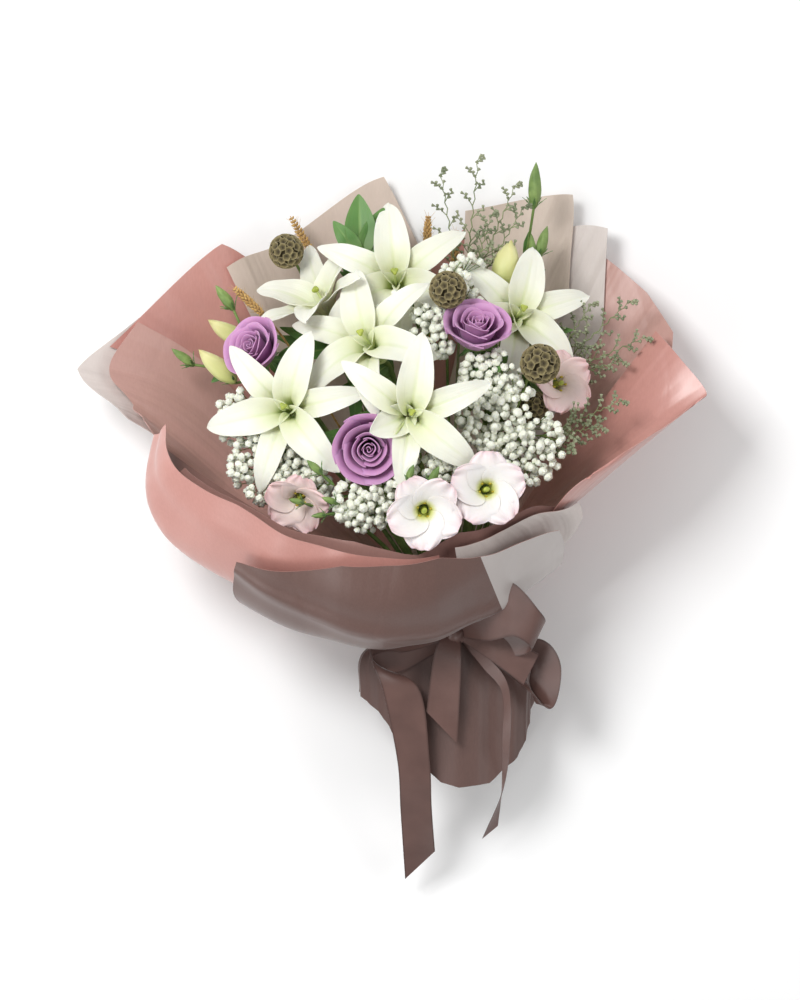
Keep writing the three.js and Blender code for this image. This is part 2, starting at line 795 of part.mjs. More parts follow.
function rosePetal(frame, ring, k) {
  const middle = ring.turn + (360 * k) / ring.count;
  return (u, v) => {
    const angle = rad(middle + (u * ring.span) / 2);
    const rise = 0.9 + ring.height * v * (1 - 0.14 * u * u * v);
    const flare = ring.flare * Math.max(0, v - 0.45) ** 2 * 3;
    const r = mix(ring.root, ring.radius, Math.sin((Math.min(1, v * 1.5) * Math.PI) / 2));
    const out = r + flare;
    return frame.point(out * Math.cos(angle), out * Math.sin(angle), rise);
  };
}

function rose({ at, face, spin = 0, size = 1, rings = 3 }) {
  const frame = new Frame(at, face, spin);
  const petals = ROSE_RINGS.slice(0, rings).flatMap((ring) =>
    Array.from({ length: ring.count }, (_, k) =>
      blade(rosePetal(frame, ring, k), PETAL_THICK, 2, 2),
    ),
  );
  const heart = turned([[0, -5], [5, -5], [12.4, 0], [12.4, 1.8], [5, 2.6], [7, 24], [0, 31]], 5);
  const bloom = fuse([...petals, frame.place(heart)]);
  const centre = vec(...at);
  bloom.translate(-centre.x, -centre.y, -centre.z);
  return bloom.scale(size, size, size).translate(centre.x, centre.y, centre.z);
}

const ROSES = {
  rose_left: { at: [-115, 147, 112], face: [-0.55, 0.4, 0.75], spin: 20, size: 0.9 },
  rose_centre: { at: [-22, 67, 150], face: [0.0, -0.12, 1], spin: 75 },
  rose_right: { at: [72, 158, 136], face: [0.1, 0.75, 0.7], spin: 0, size: 0.95 },
  rose_top: { at: [-24, 237, 54], face: [0.0, 0.8, 0.6], spin: 50, size: 0.95, rings: 2 },
};
for (const [name, made] of Object.entries(ROSES)) add(name, rose(made), "rose", 0.6);

// ---------------------------------------------------------------- lisianthus

const LISIANTHUS = { length: 43, width: 45, petals: 5 };

function lisianthusPetal(frame, { open = 74, size = 1 }, k) {
  return petal(frame, (360 * k) / LISIANTHUS.petals, {
    length: LISIANTHUS.length * size,
    start: [4.4, 1],
    slope: (v) => 16 + (open - 16) * smooth(v / 0.75) + 14 * smooth((v - 0.7) / 0.3),
    width: (v) => LISIANTHUS.width * size * (mix(0.07, 1, smooth((v - 0.05) / 0.7)) * (1 - 0.75 * v ** 6)),
    lift: (u, v) =>
      u * 2.4 * Math.min(1, 0.5 + 3 * v) + 4 * u * u * v * (1 - 0.4 * v) + 2.4 * Math.sin(5 * u + 2 * k) * v * v,
  });
}

function lisianthus({ at, face, spin = 0, ...shape }) {
  const frame = new Frame(at, face, spin);
  const petals = Array.from({ length: LISIANTHUS.petals }, (_, k) =>
    blade(lisianthusPetal(frame, shape, k), PETAL_THICK, 3, 2),
  );
  const base = turned([[0, -4], [2.4, -4], [6.8, 0], [6.8, 2], [2, 3], [0, 19]], 5);
  return fuse([...petals, frame.place(base)]);
}

const LISIANTHUS_BLOOMS = {
  lisianthus_front_right: { at: [80, 28, 172], face: [0.12, 0.02, 1], spin: 18 },
  lisianthus_front_left: { at: [26, 12, 182], face: [0.05, -0.16, 1], spin: 50 },
  lisianthus_left: { at: [-82, 26, 138], face: [-0.2, -0.45, 0.8], spin: 0, size: 0.85 },
  lisianthus_right: { at: [142, 122, 92], face: [0.45, 0.1, 0.85], spin: 30, size: 0.85 },
};
for (const [name, made] of Object.entries(LISIANTHUS_BLOOMS)) {
  const pink = name.endsWith("_left") || name.endsWith("lisianthus_right");
  add(name, lisianthus(made), pink ? "lisianthusPink" : "lisianthus", 0.55);
}

// ---------------------------------------------------------------- stems

// Each stem runs from its cut end through its place in the tied bundle to its tip.
// tip is the base of what it carries and facing that one's direction.
const STEMS = {};

function plan(name, radius, at, facing, back = 0) {
  const direction = vec(...facing).normalize();
  const tip = vec(...at).addScaledVector(direction, -back - FIT_GAP);
  STEMS[name] = { name, radius, tip, direction };
}

// Spreads the stems over the tie: each starts where the straight line from a point below the
// tie to its tip crosses it, and they then push each other apart inside the bundle.
function tieStems(seed) {
  const random = seeded(seed);
  const stems = Object.values(STEMS);
  const below = vec(NECK.x, NECK.y - 130, NECK.z);
  for (const stem of stems) {
    const ray = stem.tip.clone().sub(below);
    const share = 130 / ray.y;
    const [dx, dz] = [ray.x * share, ray.z * share];
    const reach = Math.hypot(dx, dz) || 1;
    const radius = Math.min(BUNDLE_RADIUS - 3, reach * 0.16);
    stem.slot = new THREE.Vector2((dx / reach) * radius, (dz / reach) * radius);
    stem.slot.x += 2 * (random() - 0.5);
    stem.slot.y += 2 * (random() - 0.5);
  }
  settle(stems, 60);
}

// Pushes stems apart where they come too near to each other, at the tie and above it, while
// the bundle is drawn together by shrink in each round.
function settle(stems, rounds, shrink = 1) {
  for (let round = 0; round < rounds; round++) {
    if (round < rounds * 0.8) for (const stem of stems) stem.slot.multiplyScalar(shrink);
    for (const [i, a] of stems.entries()) {
      for (const b of stems.slice(i + 1)) {
        const { gap, away, s, t } = closest(mainStretch(a), mainStretch(b));
        const need = a.radius + b.radius + STEM_GAP - gap;
        if (need <= 0) continue;
        const push = new THREE.Vector2(away.x, away.z).setLength(need * 0.6);
        a.slot.addScaledVector(push, 1 - s);
        b.slot.addScaledVector(push, t - 1);
      }
    }
    for (const a of stems) a.slot.clampLength(0, BUNDLE_RADIUS - a.radius);
  }
}

const STEM_NECK = 22; // the last stretch of a stem, in line with what it carries
const FAN_Y = NECK.y + 6; // where the stems start to part

const bundlePlace = (slot, y) => vec(NECK.x + slot.x, y, NECK.z - BUNDLE_DROP + slot.y);

function stemPath({ tip, direction, ...stem }) {
  const tie = bundlePlace(stem.slot, FAN_Y);
  const neck = tip.clone().addScaledVector(direction, -STEM_NECK);
  return [
    bundlePlace(stem.slot, STEM_END_Y),
    tie.clone(),
    tie.lerp(neck, 0.93),
    tip.clone().addScaledVector(direction, -STEM_NECK * 0.4),
    tip.clone(),
  ];
}

// The branch of a stem that carries a second bloom.
function branchPath(stem) {
  const { tip, direction } = stem.second;
  const path = stemPath(stem);
  const fork = path[1].clone().lerp(path[2], 0.36);
  return [fork, tip.clone().addScaledVector(direction, -STEM_NECK), tip];
}

// Where two straight stretches come nearest to each other: the gap, the direction from the
// second to the first, and the shares along both.
function closest([a, b], [c, d]) {
  const [p, q, r] = [b.clone().sub(a), d.clone().sub(c), a.clone().sub(c)];
  const [pp, qq, pq, pr, qr] = [p.dot(p), q.dot(q), p.dot(q), p.dot(r), q.dot(r)];
  const clamp = (value) => Math.min(1, Math.max(0, value));
  const flat = pp * qq - pq * pq;
  let s = flat > 1e-9 ? clamp((pq * qr - pr * qq) / flat) : 0;
  const t = clamp((pq * s + qr) / qq);
  s = clamp((pq * t - pr) / pp);
  const away = a.clone().addScaledVector(p, s).sub(c.clone().addScaledVector(q, t));
  return { gap: away.length(), away, s, t };
}

const mainStretch = (stem) => stemPath(stem).slice(1, 3);

// The stretches of a stem above the tie, with those of its branch.
function stretches(stem) {
  const path = stemPath(stem).slice(1);
  const lines = path.slice(1).map((p, k) => [path[k], p]);
  const branch = stem.second ? branchPath(stem) : [];
  return [...lines, ...branch.slice(1).map((p, k) => [branch[k], p])];
}

// How deep a stem cuts into the others.
function conflict(stem, stems) {
  const mine = stretches(stem);
  let sum = 0;
  for (const other of stems) {
    if (other === stem) continue;
    const need = stem.radius + other.radius + 0.4 * STEM_GAP;
    for (const a of mine) {
      for (const b of stretches(other)) {
        sum += Math.max(0, need - closest(a, b).gap);
      }
    }
  }
  return sum;
}

const swap = (a, b) => ([a.slot, b.slot] = [b.slot, a.slot]);

// The stem that this one best changes places with, if any helps.
function bestSwap(stem, stems) {
  let best = null;
  let gain = 0.05;
  for (const other of stems) {
    if (other === stem) continue;
    const before = conflict(stem, stems) + conflict(other, stems);
    swap(stem, other);
    const won = before - conflict(stem, stems) - conflict(other, stems);
    swap(stem, other);
    if (won > gain) [best, gain] = [other, won];
  }
  return best;
}

// Lets stems that cross above the tie change places in it, as long as that helps.
function untangle() {
  const stems = Object.values(STEMS);
  for (let round = 0; round < 30; round++) {
    const ranked = stems
      .map((stem) => [conflict(stem, stems), stem])
      .filter(([depth]) => depth > 0)
      .sort((a, b) => b[0] - a[0]);
    let found = false;
    for (const [, stem] of ranked) {
      const best = bestSwap(stem, stems);
      if (!best) continue;
      swap(stem, best);
      found = true;
      break;
    }
    if (!found) return;
    settle(stems, 20);
  }
}

// A leaf from a point along a direction, flat side towards up.
function leaf(from, along, up, length, width, { bow = 0.16, across = 2, steps = 3 } = {}) {
  const direction = vec(...along).normalize();
  const side = vec(...up).clone().cross(direction).normalize();
  const normal = direction.clone().cross(side);
  return blade(
    (u, v) => {
      const half = (width / 2) * (Math.sin(Math.PI * v ** 0.8) ** 0.8 + 0.06);
      return vec(...from)
        .addScaledVector(direction, length * v)
        .addScaledVector(side, u * half)
        .addScaledVector(normal, -bow * length * v * v + 0.2 * Math.abs(u) * half);
    },
    LEAF_THICK,
    across,
    steps,
  );
}

// A closed bud on its base, along a direction.
function bud(at, facing, length, radius, sides) {
  const profile = [[0, 0], [0.45, 0.04], [0.95, 0.3], [0.8, 0.65], [0, 1]];
  const scaled = profile.map(([r, h]) => [r * radius, h * length]);
  return new Frame(at, facing).place(turned(scaled, sides));
}

// ---------------------------------------------------------------- the stems of the blooms

for (const [name, made] of Object.entries(ROSES)) {
  plan(`stem_of_${name}`, 2.8, made.at, made.face, 5 * (made.size ?? 1));
}
const LILY_STEMS = {
  stem_of_left_lilies: ["lily_front_left", "lily_top_left"],
  stem_of_middle_lilies: ["lily_front_centre", "lily_centre_behind"],
  stem_of_right_lilies: ["lily_right", "lily_top"],
};
for (const [name, [first, second]] of Object.entries(LILY_STEMS)) {
  plan(name, 3.6, LILIES[first].at, LILIES[first].face, LILY.baseLength);
  const direction = vec(...LILIES[second].face).normalize();
  const back = -LILY.baseLength - FIT_GAP;
  const tip = vec(...LILIES[second].at).addScaledVector(direction, back);
  STEMS[name].second = { tip, direction };
}
for (const [name, made] of Object.entries(LISIANTHUS_BLOOMS)) {
  plan(`stem_of_${name}`, 2, made.at, made.face, 4);
}

const PODS = {
  seed_head_top_left: { at: [-97, 243, 77], face: [-0.3, 0.1, 0.95], radius: 15 },
  seed_head_middle: { at: [48, 206, 150], face: [0.1, 0.5, 0.9], radius: 16 },
  seed_head_right: { at: [130, 140, 154], face: [0.4, 0.1, 0.9], radius: 17 },
  seed_head_low_right: { at: [124, 102, 106], face: [0.3, -0.2, 0.9], radius: 14 },
};
for (const [name, made] of Object.entries(PODS)) plan(name, 1.3, made.at, made.face);

const SPRAYS = {
  babys_breath_left: {
    hub: [-92, 52, 110],
    patches: [[-110, 52, 152, 30], [-92, 34, 152, 30], [-128, 84, 132, 22]],
    twigs: 5,
  },
  babys_breath_front: {
    hub: [14, 36, 130],
    patches: [[-26, 20, 176, 22], [22, 50, 176, 24], [50, 44, 176, 18]],
    twigs: 3,
  },
  babys_breath_right: {
    hub: [88, 76, 112],
    patches: [[92, 96, 158, 34], [112, 74, 150, 34], [84, 126, 150, 24]],
    twigs: 5,
  },
  babys_breath_top: {
    hub: [20, 150, 92],
    patches: [[-18, 184, 132, 22], [36, 172, 150, 24], [62, 214, 120, 20]],
    twigs: 3,
  },
};
for (const [name, made] of Object.entries(SPRAYS)) plan(name, 1.5, made.hub, [0, 0.3, 1], -1.5);

const TWIGS = {
  sea_lavender_top: {
    from: [62, 190, 62],
    tips: [[76, 328, 74], [42, 316, 66], [110, 304, 82], [118, 284, 92], [88, 276, 100]],
  },
  sea_lavender_right: {
    from: [132, 124, 56],
    tips: [[214, 199, 88], [228, 166, 90], [178, 196, 84], [206, 144, 92]],
  },
  sea_lavender_low_right: {
    from: [132, 76, 100],
    tips: [[204, 108, 142], [160, 66, 150], [186, 84, 134]],
  },
};
for (const [name, made] of Object.entries(TWIGS)) plan(name, 1.2, made.from, [0.2, 1, 0.2], -1.5);

const EARS = {
  golden_grass_left: { at: [-98, 266, 42], tip: [-74, 230, 42] },
  golden_grass_low_left: { at: [-144, 210, 90], tip: [-116, 184, 90] },
  golden_grass_top: { at: [31, 276, 56], tip: [29, 240, 60] },
};
for (const [name, made] of Object.entries(EARS)) {
  const [a, b] = [vec(...made.at), vec(...made.tip)];
  plan(name, 1, made.tip, a.sub(b).toArray(), -2);
}

const LEFT_BUDS = {
  from: [-126, 140, 84],
  buds: [
    { at: [-132, 159, 66], face: [-0.8, 0.5, 0.3], length: 44, radius: 8.5, cream: true },
    { at: [-142, 124, 104], face: [-0.8, 0.72, 0.3], length: 46, radius: 9, cream: true },
    { at: [-144, 190, 86], face: [-0.6, 0.8, 0.2], length: 28, radius: 5 },
    { at: [-180, 140, 88], face: [-0.8, 0.6, 0.3], length: 26, radius: 4.2 },
  ],
};
const RIGHT_BUDS = {
  from: [112, 196, 42],
  buds: [
    { at: [98, 208, 80], face: [0.16, 0.95, 0.12], length: 46, radius: 13, cream: true },
    { at: [126, 282, 70], face: [0.05, 1, 0.1], length: 42, radius: 6 },
    { at: [130, 238, 60], face: [0.3, 1, 0.1], length: 30, radius: 5 },
    { at: [126, 236, 62], face: [-0.1, 1, 0.15], length: 24, radius: 3.5 },
  ],
};
plan("stem_of_left_buds", 2, LEFT_BUDS.from, [-0.4, 0.8, 0.5], -1.5);
plan("stem_of_right_buds", 2, RIGHT_BUDS.from, [0.2, 1, 0.3], -1.5);

const TIE_TRIES = 6;

// Ties the stems anew until none cuts into another, then draws them together.
for (let seed = 1; seed <= TIE_TRIES; seed++) {
  const stems = Object.values(STEMS);
  tieStems(seed);
  untangle();
  settle(stems, 250, 0.99);
  if (stems.every((stem) => conflict(stem, stems) < 0.05)) break;
}

function stemRod(stem, sides = stem.radius > 2.5 ? 6 : stem.radius > 1.8 ? 5 : 4) {
  const path = stemPath(stem);
  return loft(path, Array(path.length).fill(stem.radius), sides);
}

function sepals(made, count, length, width, out) {
  const frame = new Frame(made.at, made.face, 20);
  return Array.from({ length: count }, (_, k) => {
    const around = (2 * Math.PI * k) / count;
    const outward = frame.x
      .clone()
      .multiplyScalar(Math.cos(around))
      .addScaledVector(frame.y, Math.sin(around));
    const from = frame.at.clone().addScaledVector(frame.z, -out).addScaledVector(outward, 1);
    const along = outward.clone().multiplyScalar(1).addScaledVector(frame.z, -0.7);
    const cells = { bow: 0.2, across: 1, steps: 2 };
    return leaf(from.toArray(), along.toArray(), frame.z.toArray(), length, width, cells);
  });
}

// Leaves of the rose at the top, which stand out above its petals.
const TOP_LEAVES = [
  { along: [-0.05, 1, -0.06], length: 84, width: 20 },
  { along: [-0.42, 0.9, 0.0], length: 66, width: 17 },
  { along: [0.4, 0.9, -0.08], length: 68, width: 16 },
];
const TOP_LEAVES_FROM = 0.97; // their place on the stretch from the tie to the rose's neck

function topLeaves() {
  const path = stemPath(STEMS.stem_of_rose_top);
  const root = path[1].clone().lerp(path[2], TOP_LEAVES_FROM);
  return TOP_LEAVES.map(({ along, length, width }) =>
    leaf(root.toArray(), along, [along[0] * 0.2, -along[2], 1], length, width, { bow: 0.06 }),
  );
}

for (const [name, made] of Object.entries(ROSES)) {
  const stem = STEMS[`stem_of_${name}`];
  const size = made.size ?? 1;
  const leaves = name === "rose_top" ? topLeaves() : [];
  const parts = [stemRod(stem), ...sepals(made, 4, 17, 7, 5 * size + 2), ...leaves];
  add(stem.name, fuse(parts), "green");
}
for (const name of Object.keys(LILY_STEMS)) {
  const branch = loft(branchPath(STEMS[name]), [2.6, 2.6, 2.6], 5);
  add(name, fuse([stemRod(STEMS[name]), branch]), "green");
}
for (const name of Object.keys(LISIANTHUS_BLOOMS)) {
  const stem = STEMS[`stem_of_${name}`];
  add(stem.name, fuse([stemRod(stem)]), "green");
}

// ---------------------------------------------------------------- buds

function budStem(name, { from, buds }) {
  const stem = STEMS[name];
  const parts = [stemRod(stem)];
  buds.forEach((made, k) => {
    const direction = vec(...made.face).normalize();
    const end = vec(...made.at).addScaledVector(direction, made.cream ? -0.5 : 1);
    const start = vec(...from);
    const middle = start.clone().lerp(end, 0.6).addScaledVector(direction, -6);
    parts.push(loft([start, middle, end], [1.3, 1.2, 1.2], 3));
    if (made.cream) {
      const cream = bud(made.at, made.face, made.length, made.radius, 7);
      add(`${name.replace("stem_of", "cream")}_${k + 1}`, cream, "bud");
    } else {
      parts.push(bud(made.at, made.face, made.length, made.radius, 4));
    }
  });
  add(name, fuse(parts), "green");
}
budStem("stem_of_left_buds", LEFT_BUDS);
budStem("stem_of_right_buds", RIGHT_BUDS);

// ---------------------------------------------------------------- seed heads

const ICOSAHEDRON = new THREE.IcosahedronGeometry(1, 0).toNonIndexed().attributes.position;

// The directions of the pits: the corners and the face centres of an icosahedron.
const PITS = [];
for (let k = 0; k < ICOSAHEDRON.count; k += 3) {
  const face = [k, k + 1, k + 2].map((i) => vec().fromBufferAttribute(ICOSAHEDRON, i));
  PITS.push(...face, face[0].clone().add(face[1]).add(face[2]).normalize());
}

// A round seed head: its outer points stand round 32 sunk cups.
function seedHead({ at, radius }) {
  const ball = new THREE.IcosahedronGeometry(1, 2);
  const points = ball.attributes.position;
  for (let i = 0; i < points.count; i++) {
    const p = vec().fromBufferAttribute(points, i).normalize();
    const pit = PITS.some((q) => q.dot(p) > 0.9995);
    p.multiplyScalar(radius * (pit ? 0.8 : 1.04));
    points.setXYZ(i, p.x, p.y, p.z);
  }
  return ball.translate(...at);
}
for (const [name, made] of Object.entries(PODS)) {
  add(name, fuse([seedHead(made), stemRod(STEMS[name])]), "pod", 0.9);
}

// ---------------------------------------------------------------- baby's breath

const FLORET = { radius: 3.6, stalk: 0.6, perTwig: 3 };

// Twigs that leave the hub and pass through florets, one after another. A patch is the middle
// of its florets and their reach to the sides.
function spray({ hub, patches, twigs: count }, stem, seed) {
  const random = seeded(seed);
  const start = vec(...hub);
  const parts = [stemRod(stem)];
  const mine = [];
  for (let k = 0; k < count; k++) {
    const [x, y, z, reach] = patches[k % patches.length];
    const points = [start.clone()];
    const radii = [0.9];
    let from = start;
    for (let n = 0; n < FLORET.perTwig; n++) {
      for (let tries = 0; tries < 90; tries++) {
        const angle = random() * 2 * Math.PI;
        const out = reach * Math.sqrt(random());
        const height = z - 0.25 * out + 5 * n + 14 * (random() - 0.5);
        const p = vec(x + out * Math.cos(angle), y + out * Math.sin(angle), height);
        const far = p.distanceTo(from);
        if (far < 3 * FLORET.radius || (n > 0 && far > 26)) continue;
        if (mine.some((q) => q.distanceTo(p) < 2.1 * FLORET.radius)) continue;
        if (!roomFor(p, FLORET.radius + 2.2) || !roomAlong(from, p, 2.6)) continue;
        const way = p.clone().sub(from).normalize();
        mine.push(p);
        points.push(p.clone().addScaledVector(way, -0.8 * FLORET.radius), p);
        points.push(p.clone().addScaledVector(way, 0.8 * FLORET.radius));
        radii.push(FLORET.stalk, FLORET.radius, FLORET.stalk);
        from = p;
        break;
      }
    }
    if (points.length > 1) parts.push(loft(points, radii, 4));
  }
  return fuse(parts);
}

Object.entries(SPRAYS).forEach(([name, made], k) => {
  add(name, spray(made, STEMS[name], 101 + k), "gypsophila", 0.8);
});

// ---------------------------------------------------------------- sea lavender

const TWIG = { radius: 0.8, floret: 2.5, florets: 4, from: 0.4, zigzag: 2.2 };

// Thin twigs from one point to their tips, thickened where florets sit on both sides in turn.
function twigs({ from, tips }, stem) {
  const parts = [stemRod(stem)];
  const start = vec(...from);
  for (const place of tips) {
    const tip = vec(...place);
    const side = vec(start.y - tip.y, tip.x - start.x, 0).setLength(TWIG.zigzag);
    const points = [start.clone()];
    const radii = [TWIG.radius];
    for (let k = 0; k < TWIG.florets; k++) {
      const share = mix(TWIG.from, 0.98, k / (TWIG.florets - 1));
      const gap = 0.35 / TWIG.florets;
      const arch = vec(0, 0, 10 * share * (1 - share));
      const on = (t, out) =>
        start.clone().lerp(tip, t).add(arch).addScaledVector(side, out * (k % 2 ? 1 : -1));
      points.push(on(share - gap, 0), on(share, 1));
      radii.push(TWIG.radius, TWIG.floret);
    }
    points.push(tip);
    radii.push(0.5);
    parts.push(loft(points, radii, 3));
  }
  return fuse(parts);
}
for (const [name, made] of Object.entries(TWIGS)) {
  add(name, twigs(made, STEMS[name]), "limonium", 0.9);
}

// ---------------------------------------------------------------- golden grass

const EAR = { grains: 7, radius: 4.4, waist: 2.2 };

// An ear in rows of grains: its outline swells at each row and narrows to the tip.
function ear({ at, tip }, stem) {
  const [top, base] = [vec(...at), vec(...tip)];
  const points = [base.clone().lerp(top, -0.06)];
  const radii = [0.8];
  for (let k = 0; k < EAR.grains; k++) {
    const share = (k + 0.5) / EAR.grains;
    const narrowing = 1 - 0.5 * share;
    points.push(base.clone().lerp(top, share), base.clone().lerp(top, share + 0.35 / EAR.grains));
    radii.push(EAR.radius * narrowing, EAR.waist * narrowing);
  }
  points.push(top);
  radii.push(0.4);
  return fuse([stemRod(stem), loft(points, radii, 4)]);
}
for (const [name, made] of Object.entries(EARS)) {
  add(name, ear(made, STEMS[name]), "wheat", 0.9);
}

// ---------------------------------------------------------------- placing

const box = new THREE.Box3().setFromObject(bouquet);
const centre = box.getCenter(vec(0, 0, 0));
bouquet.position.set(-centre.x, -centre.y, -box.min.z);

export default bouquet;
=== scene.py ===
"""A mixed flower bouquet in its paper wrapper with a satin ribbon, laid on its back.

Lengths are worked out in millimetres in the bouquet's own layout, whose +X is the right, whose
+Y runs from the tie to the flower heads and whose +Z points up, and are put in metres when a
mesh is bent to shape.
"""

import logging
import math
import random
from dataclasses import dataclass, field, replace
from enum import Enum
from functools import cached_property, lru_cache
from typing import Callable, Iterable, Protocol, Sequence

import bmesh
import bpy
import numpy as np
from mathutils import Matrix, Vector
from mathutils.bvhtree import BVHTree


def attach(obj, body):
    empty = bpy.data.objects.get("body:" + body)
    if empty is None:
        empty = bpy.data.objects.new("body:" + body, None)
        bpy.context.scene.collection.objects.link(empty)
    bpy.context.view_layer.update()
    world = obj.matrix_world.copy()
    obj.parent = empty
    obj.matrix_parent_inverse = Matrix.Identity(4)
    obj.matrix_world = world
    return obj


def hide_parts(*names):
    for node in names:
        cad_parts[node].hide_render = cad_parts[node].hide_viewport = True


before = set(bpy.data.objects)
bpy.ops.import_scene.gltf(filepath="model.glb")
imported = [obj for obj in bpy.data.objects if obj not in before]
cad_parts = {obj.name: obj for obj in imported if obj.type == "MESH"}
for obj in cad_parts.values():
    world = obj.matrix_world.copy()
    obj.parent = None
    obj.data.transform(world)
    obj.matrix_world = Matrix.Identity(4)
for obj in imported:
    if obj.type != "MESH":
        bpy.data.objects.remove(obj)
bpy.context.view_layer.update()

LOG = logging.getLogger("bouquet")

Array = np.ndarray
Mesh = bpy.types.Mesh
Piece = bpy.types.Object
Socket = bpy.types.NodeSocket
Point = tuple[float, float, float]
Colour = tuple[float, float, float, float]
Surface = Callable[[Array, Array], Array]
Profile = Callable[[Array], Array]

MM = 0.001
SHIFT = np.array([-0.1255, -1.5475, -1.25])  # from the layout's origin to the part's, in mm

NECK = np.array([50.0, -70.0, 48.0])  # centre of the tie
STEM_END_Y = -188.0  # where the stems are cut
STEM_NECK = 22.0  # how far before its tip a stem turns to its bloom
FAN_Y = NECK[1] + 6.0  # where the stems start to part
FIT_GAP = 0.3  # between a bloom and its stem

SHEET_START_Y = -86.0  # where the sheets end below the tie
SHEET_THICK = 0.8  # of the solid sheets, which the layers' heights follow
PAPER_THICK = 0.5
SHEET_PITCH = 1.25  # from one layer to the next
SHEET_INNER = 18.5  # radius of the innermost layer at the tie
SHEET_LAYERS = 9
TIE_RADIUS = SHEET_INNER + SHEET_LAYERS * SHEET_PITCH / 2  # of the sheets' middle
LAYER_SPREAD = 1.2  # how much further apart the layers are at their outer edge
TIE_SHARE = 0.06  # the share of a sheet that lies below the middle of the tie
TIE_PULL = 30.0  # how far below the tie a rib's curve would come from
ROWS_ABOVE = 2  # steps from a sheet's last fixed row to its outer edge
PETAL_THICK = 0.6
LEAF_THICK = 0.4
SHARP_ANGLE = math.radians(52)  # edges sharper than this stay sharp
LILY_BASE = 7.0  # how far a lily's base reaches below it
LEAF_TRIES = 14  # how many places are tried for each leaf
FLORET_TRIES = 30
NEAR = 50.0  # how far from a point blooms are looked for


# --- small helpers


def tint(red: int, green: int, blue: int) -> Colour:
    """Turns a photographed colour into linear light.

    Args:
        red, green, blue: the colour's parts, 0 to 255.

    Returns:
        The colour as Blender's sockets take it.
    """
    parts = [part / 255 for part in (red, green, blue)]
    linear = [p / 12.92 if p <= 0.04045 else ((p + 0.055) / 1.055) ** 2.4 for p in parts]
    return (linear[0], linear[1], linear[2], 1.0)


def mix(a: Array | float, b: Array | float, t: Array | float) -> Array | float:
    """A value between a and b at share t."""
    return a + (b - a) * t


def smooth(t: Array | float) -> Array:
    """An S-curve from 0 to 1, flat at both ends."""
    c = np.clip(t, 0.0, 1.0)
    return c * c * (3 - 2 * c)


def unit(v: Sequence[float] | Array) -> Array:
    """The direction of a vector."""
    v = np.array(v, float)
    return v / np.linalg.norm(v)


def metres(points: Array) -> Array:
    """Layout points in mm as points of the part in metres."""
    return (points + SHIFT) * MM


def layout(points: Array) -> Array:
    """Points of the part in metres as layout points in mm."""
    return np.array(points) / MM - SHIFT


def spline(a: Array, b: Array, c: Array, d: Array, t: Array) -> Array:
    """Catmull-Rom through four values, at t between the middle two.

    Args:
        a, b, c, d: the values.
        t: 0 at b and 1 at c.

    Returns:
        The value at t.
    """
    t2, t3 = t * t, t * t * t
    return 0.5 * (
        2 * b + (c - a) * t + (2 * a - 5 * b + 4 * c - d) * t2 + (3 * b - a - 3 * c + d) * t3
    )


def through(knots: Array, place: Array, before: Array | None = None) -> Array:
    """The smooth curve through knots.

    Args:
        knots: K x 3 points.
        place: positions counted in knots, n.
        before: the point that the curve would come from.

    Returns:
        n x 3 points.
    """
    first = 2 * knots[0] - knots[1] if before is None else before
    padded = np.vstack([first, knots, 2 * knots[-1] - knots[-2]])
    k = np.clip(np.floor(place), 0, len(knots) - 2).astype(int)
    t = (place - k)[:, None]
    return spline(padded[k], padded[k + 1], padded[k + 2], padded[k + 3], t)


def spot(line: Array, place: float) -> Array:
    """The one point of a smooth line at a place counted in knots."""
    return through(line, np.array([place]))[0]


def round_neck(around: Array, y: Array | float, wide: Array | float, high: Array | float) -> Array:
    """Points round the tie.

    Args:
        around: the angle from the back, in radians.
        y: their height along the bouquet.
        wide, high: the radii to the side and up.

    Returns:
        n x 3 points in mm.
    """
    x = NECK[0] + wide * np.sin(around)
    return np.stack([x, np.broadcast_to(y, x.shape), NECK[2] - high * np.cos(around)], -1)


def in_scene(name: str, data: bpy.types.ID) -> Piece:
    """An object with that data, put in the scene."""
    made = bpy.data.objects.new(name, data)
    bpy.context.scene.collection.objects.link(made)
    return made


def mesh_from(bm: bmesh.types.BMesh, name: str) -> Mesh:
    """A mesh with the form of a bmesh, which is then let go.

    Args:
        bm: the bmesh.
        name: the mesh's name.

    Returns:
        The mesh.
    """
    mesh = bpy.data.meshes.new(name)
    bm.to_mesh(mesh)
    bm.free()
    return mesh


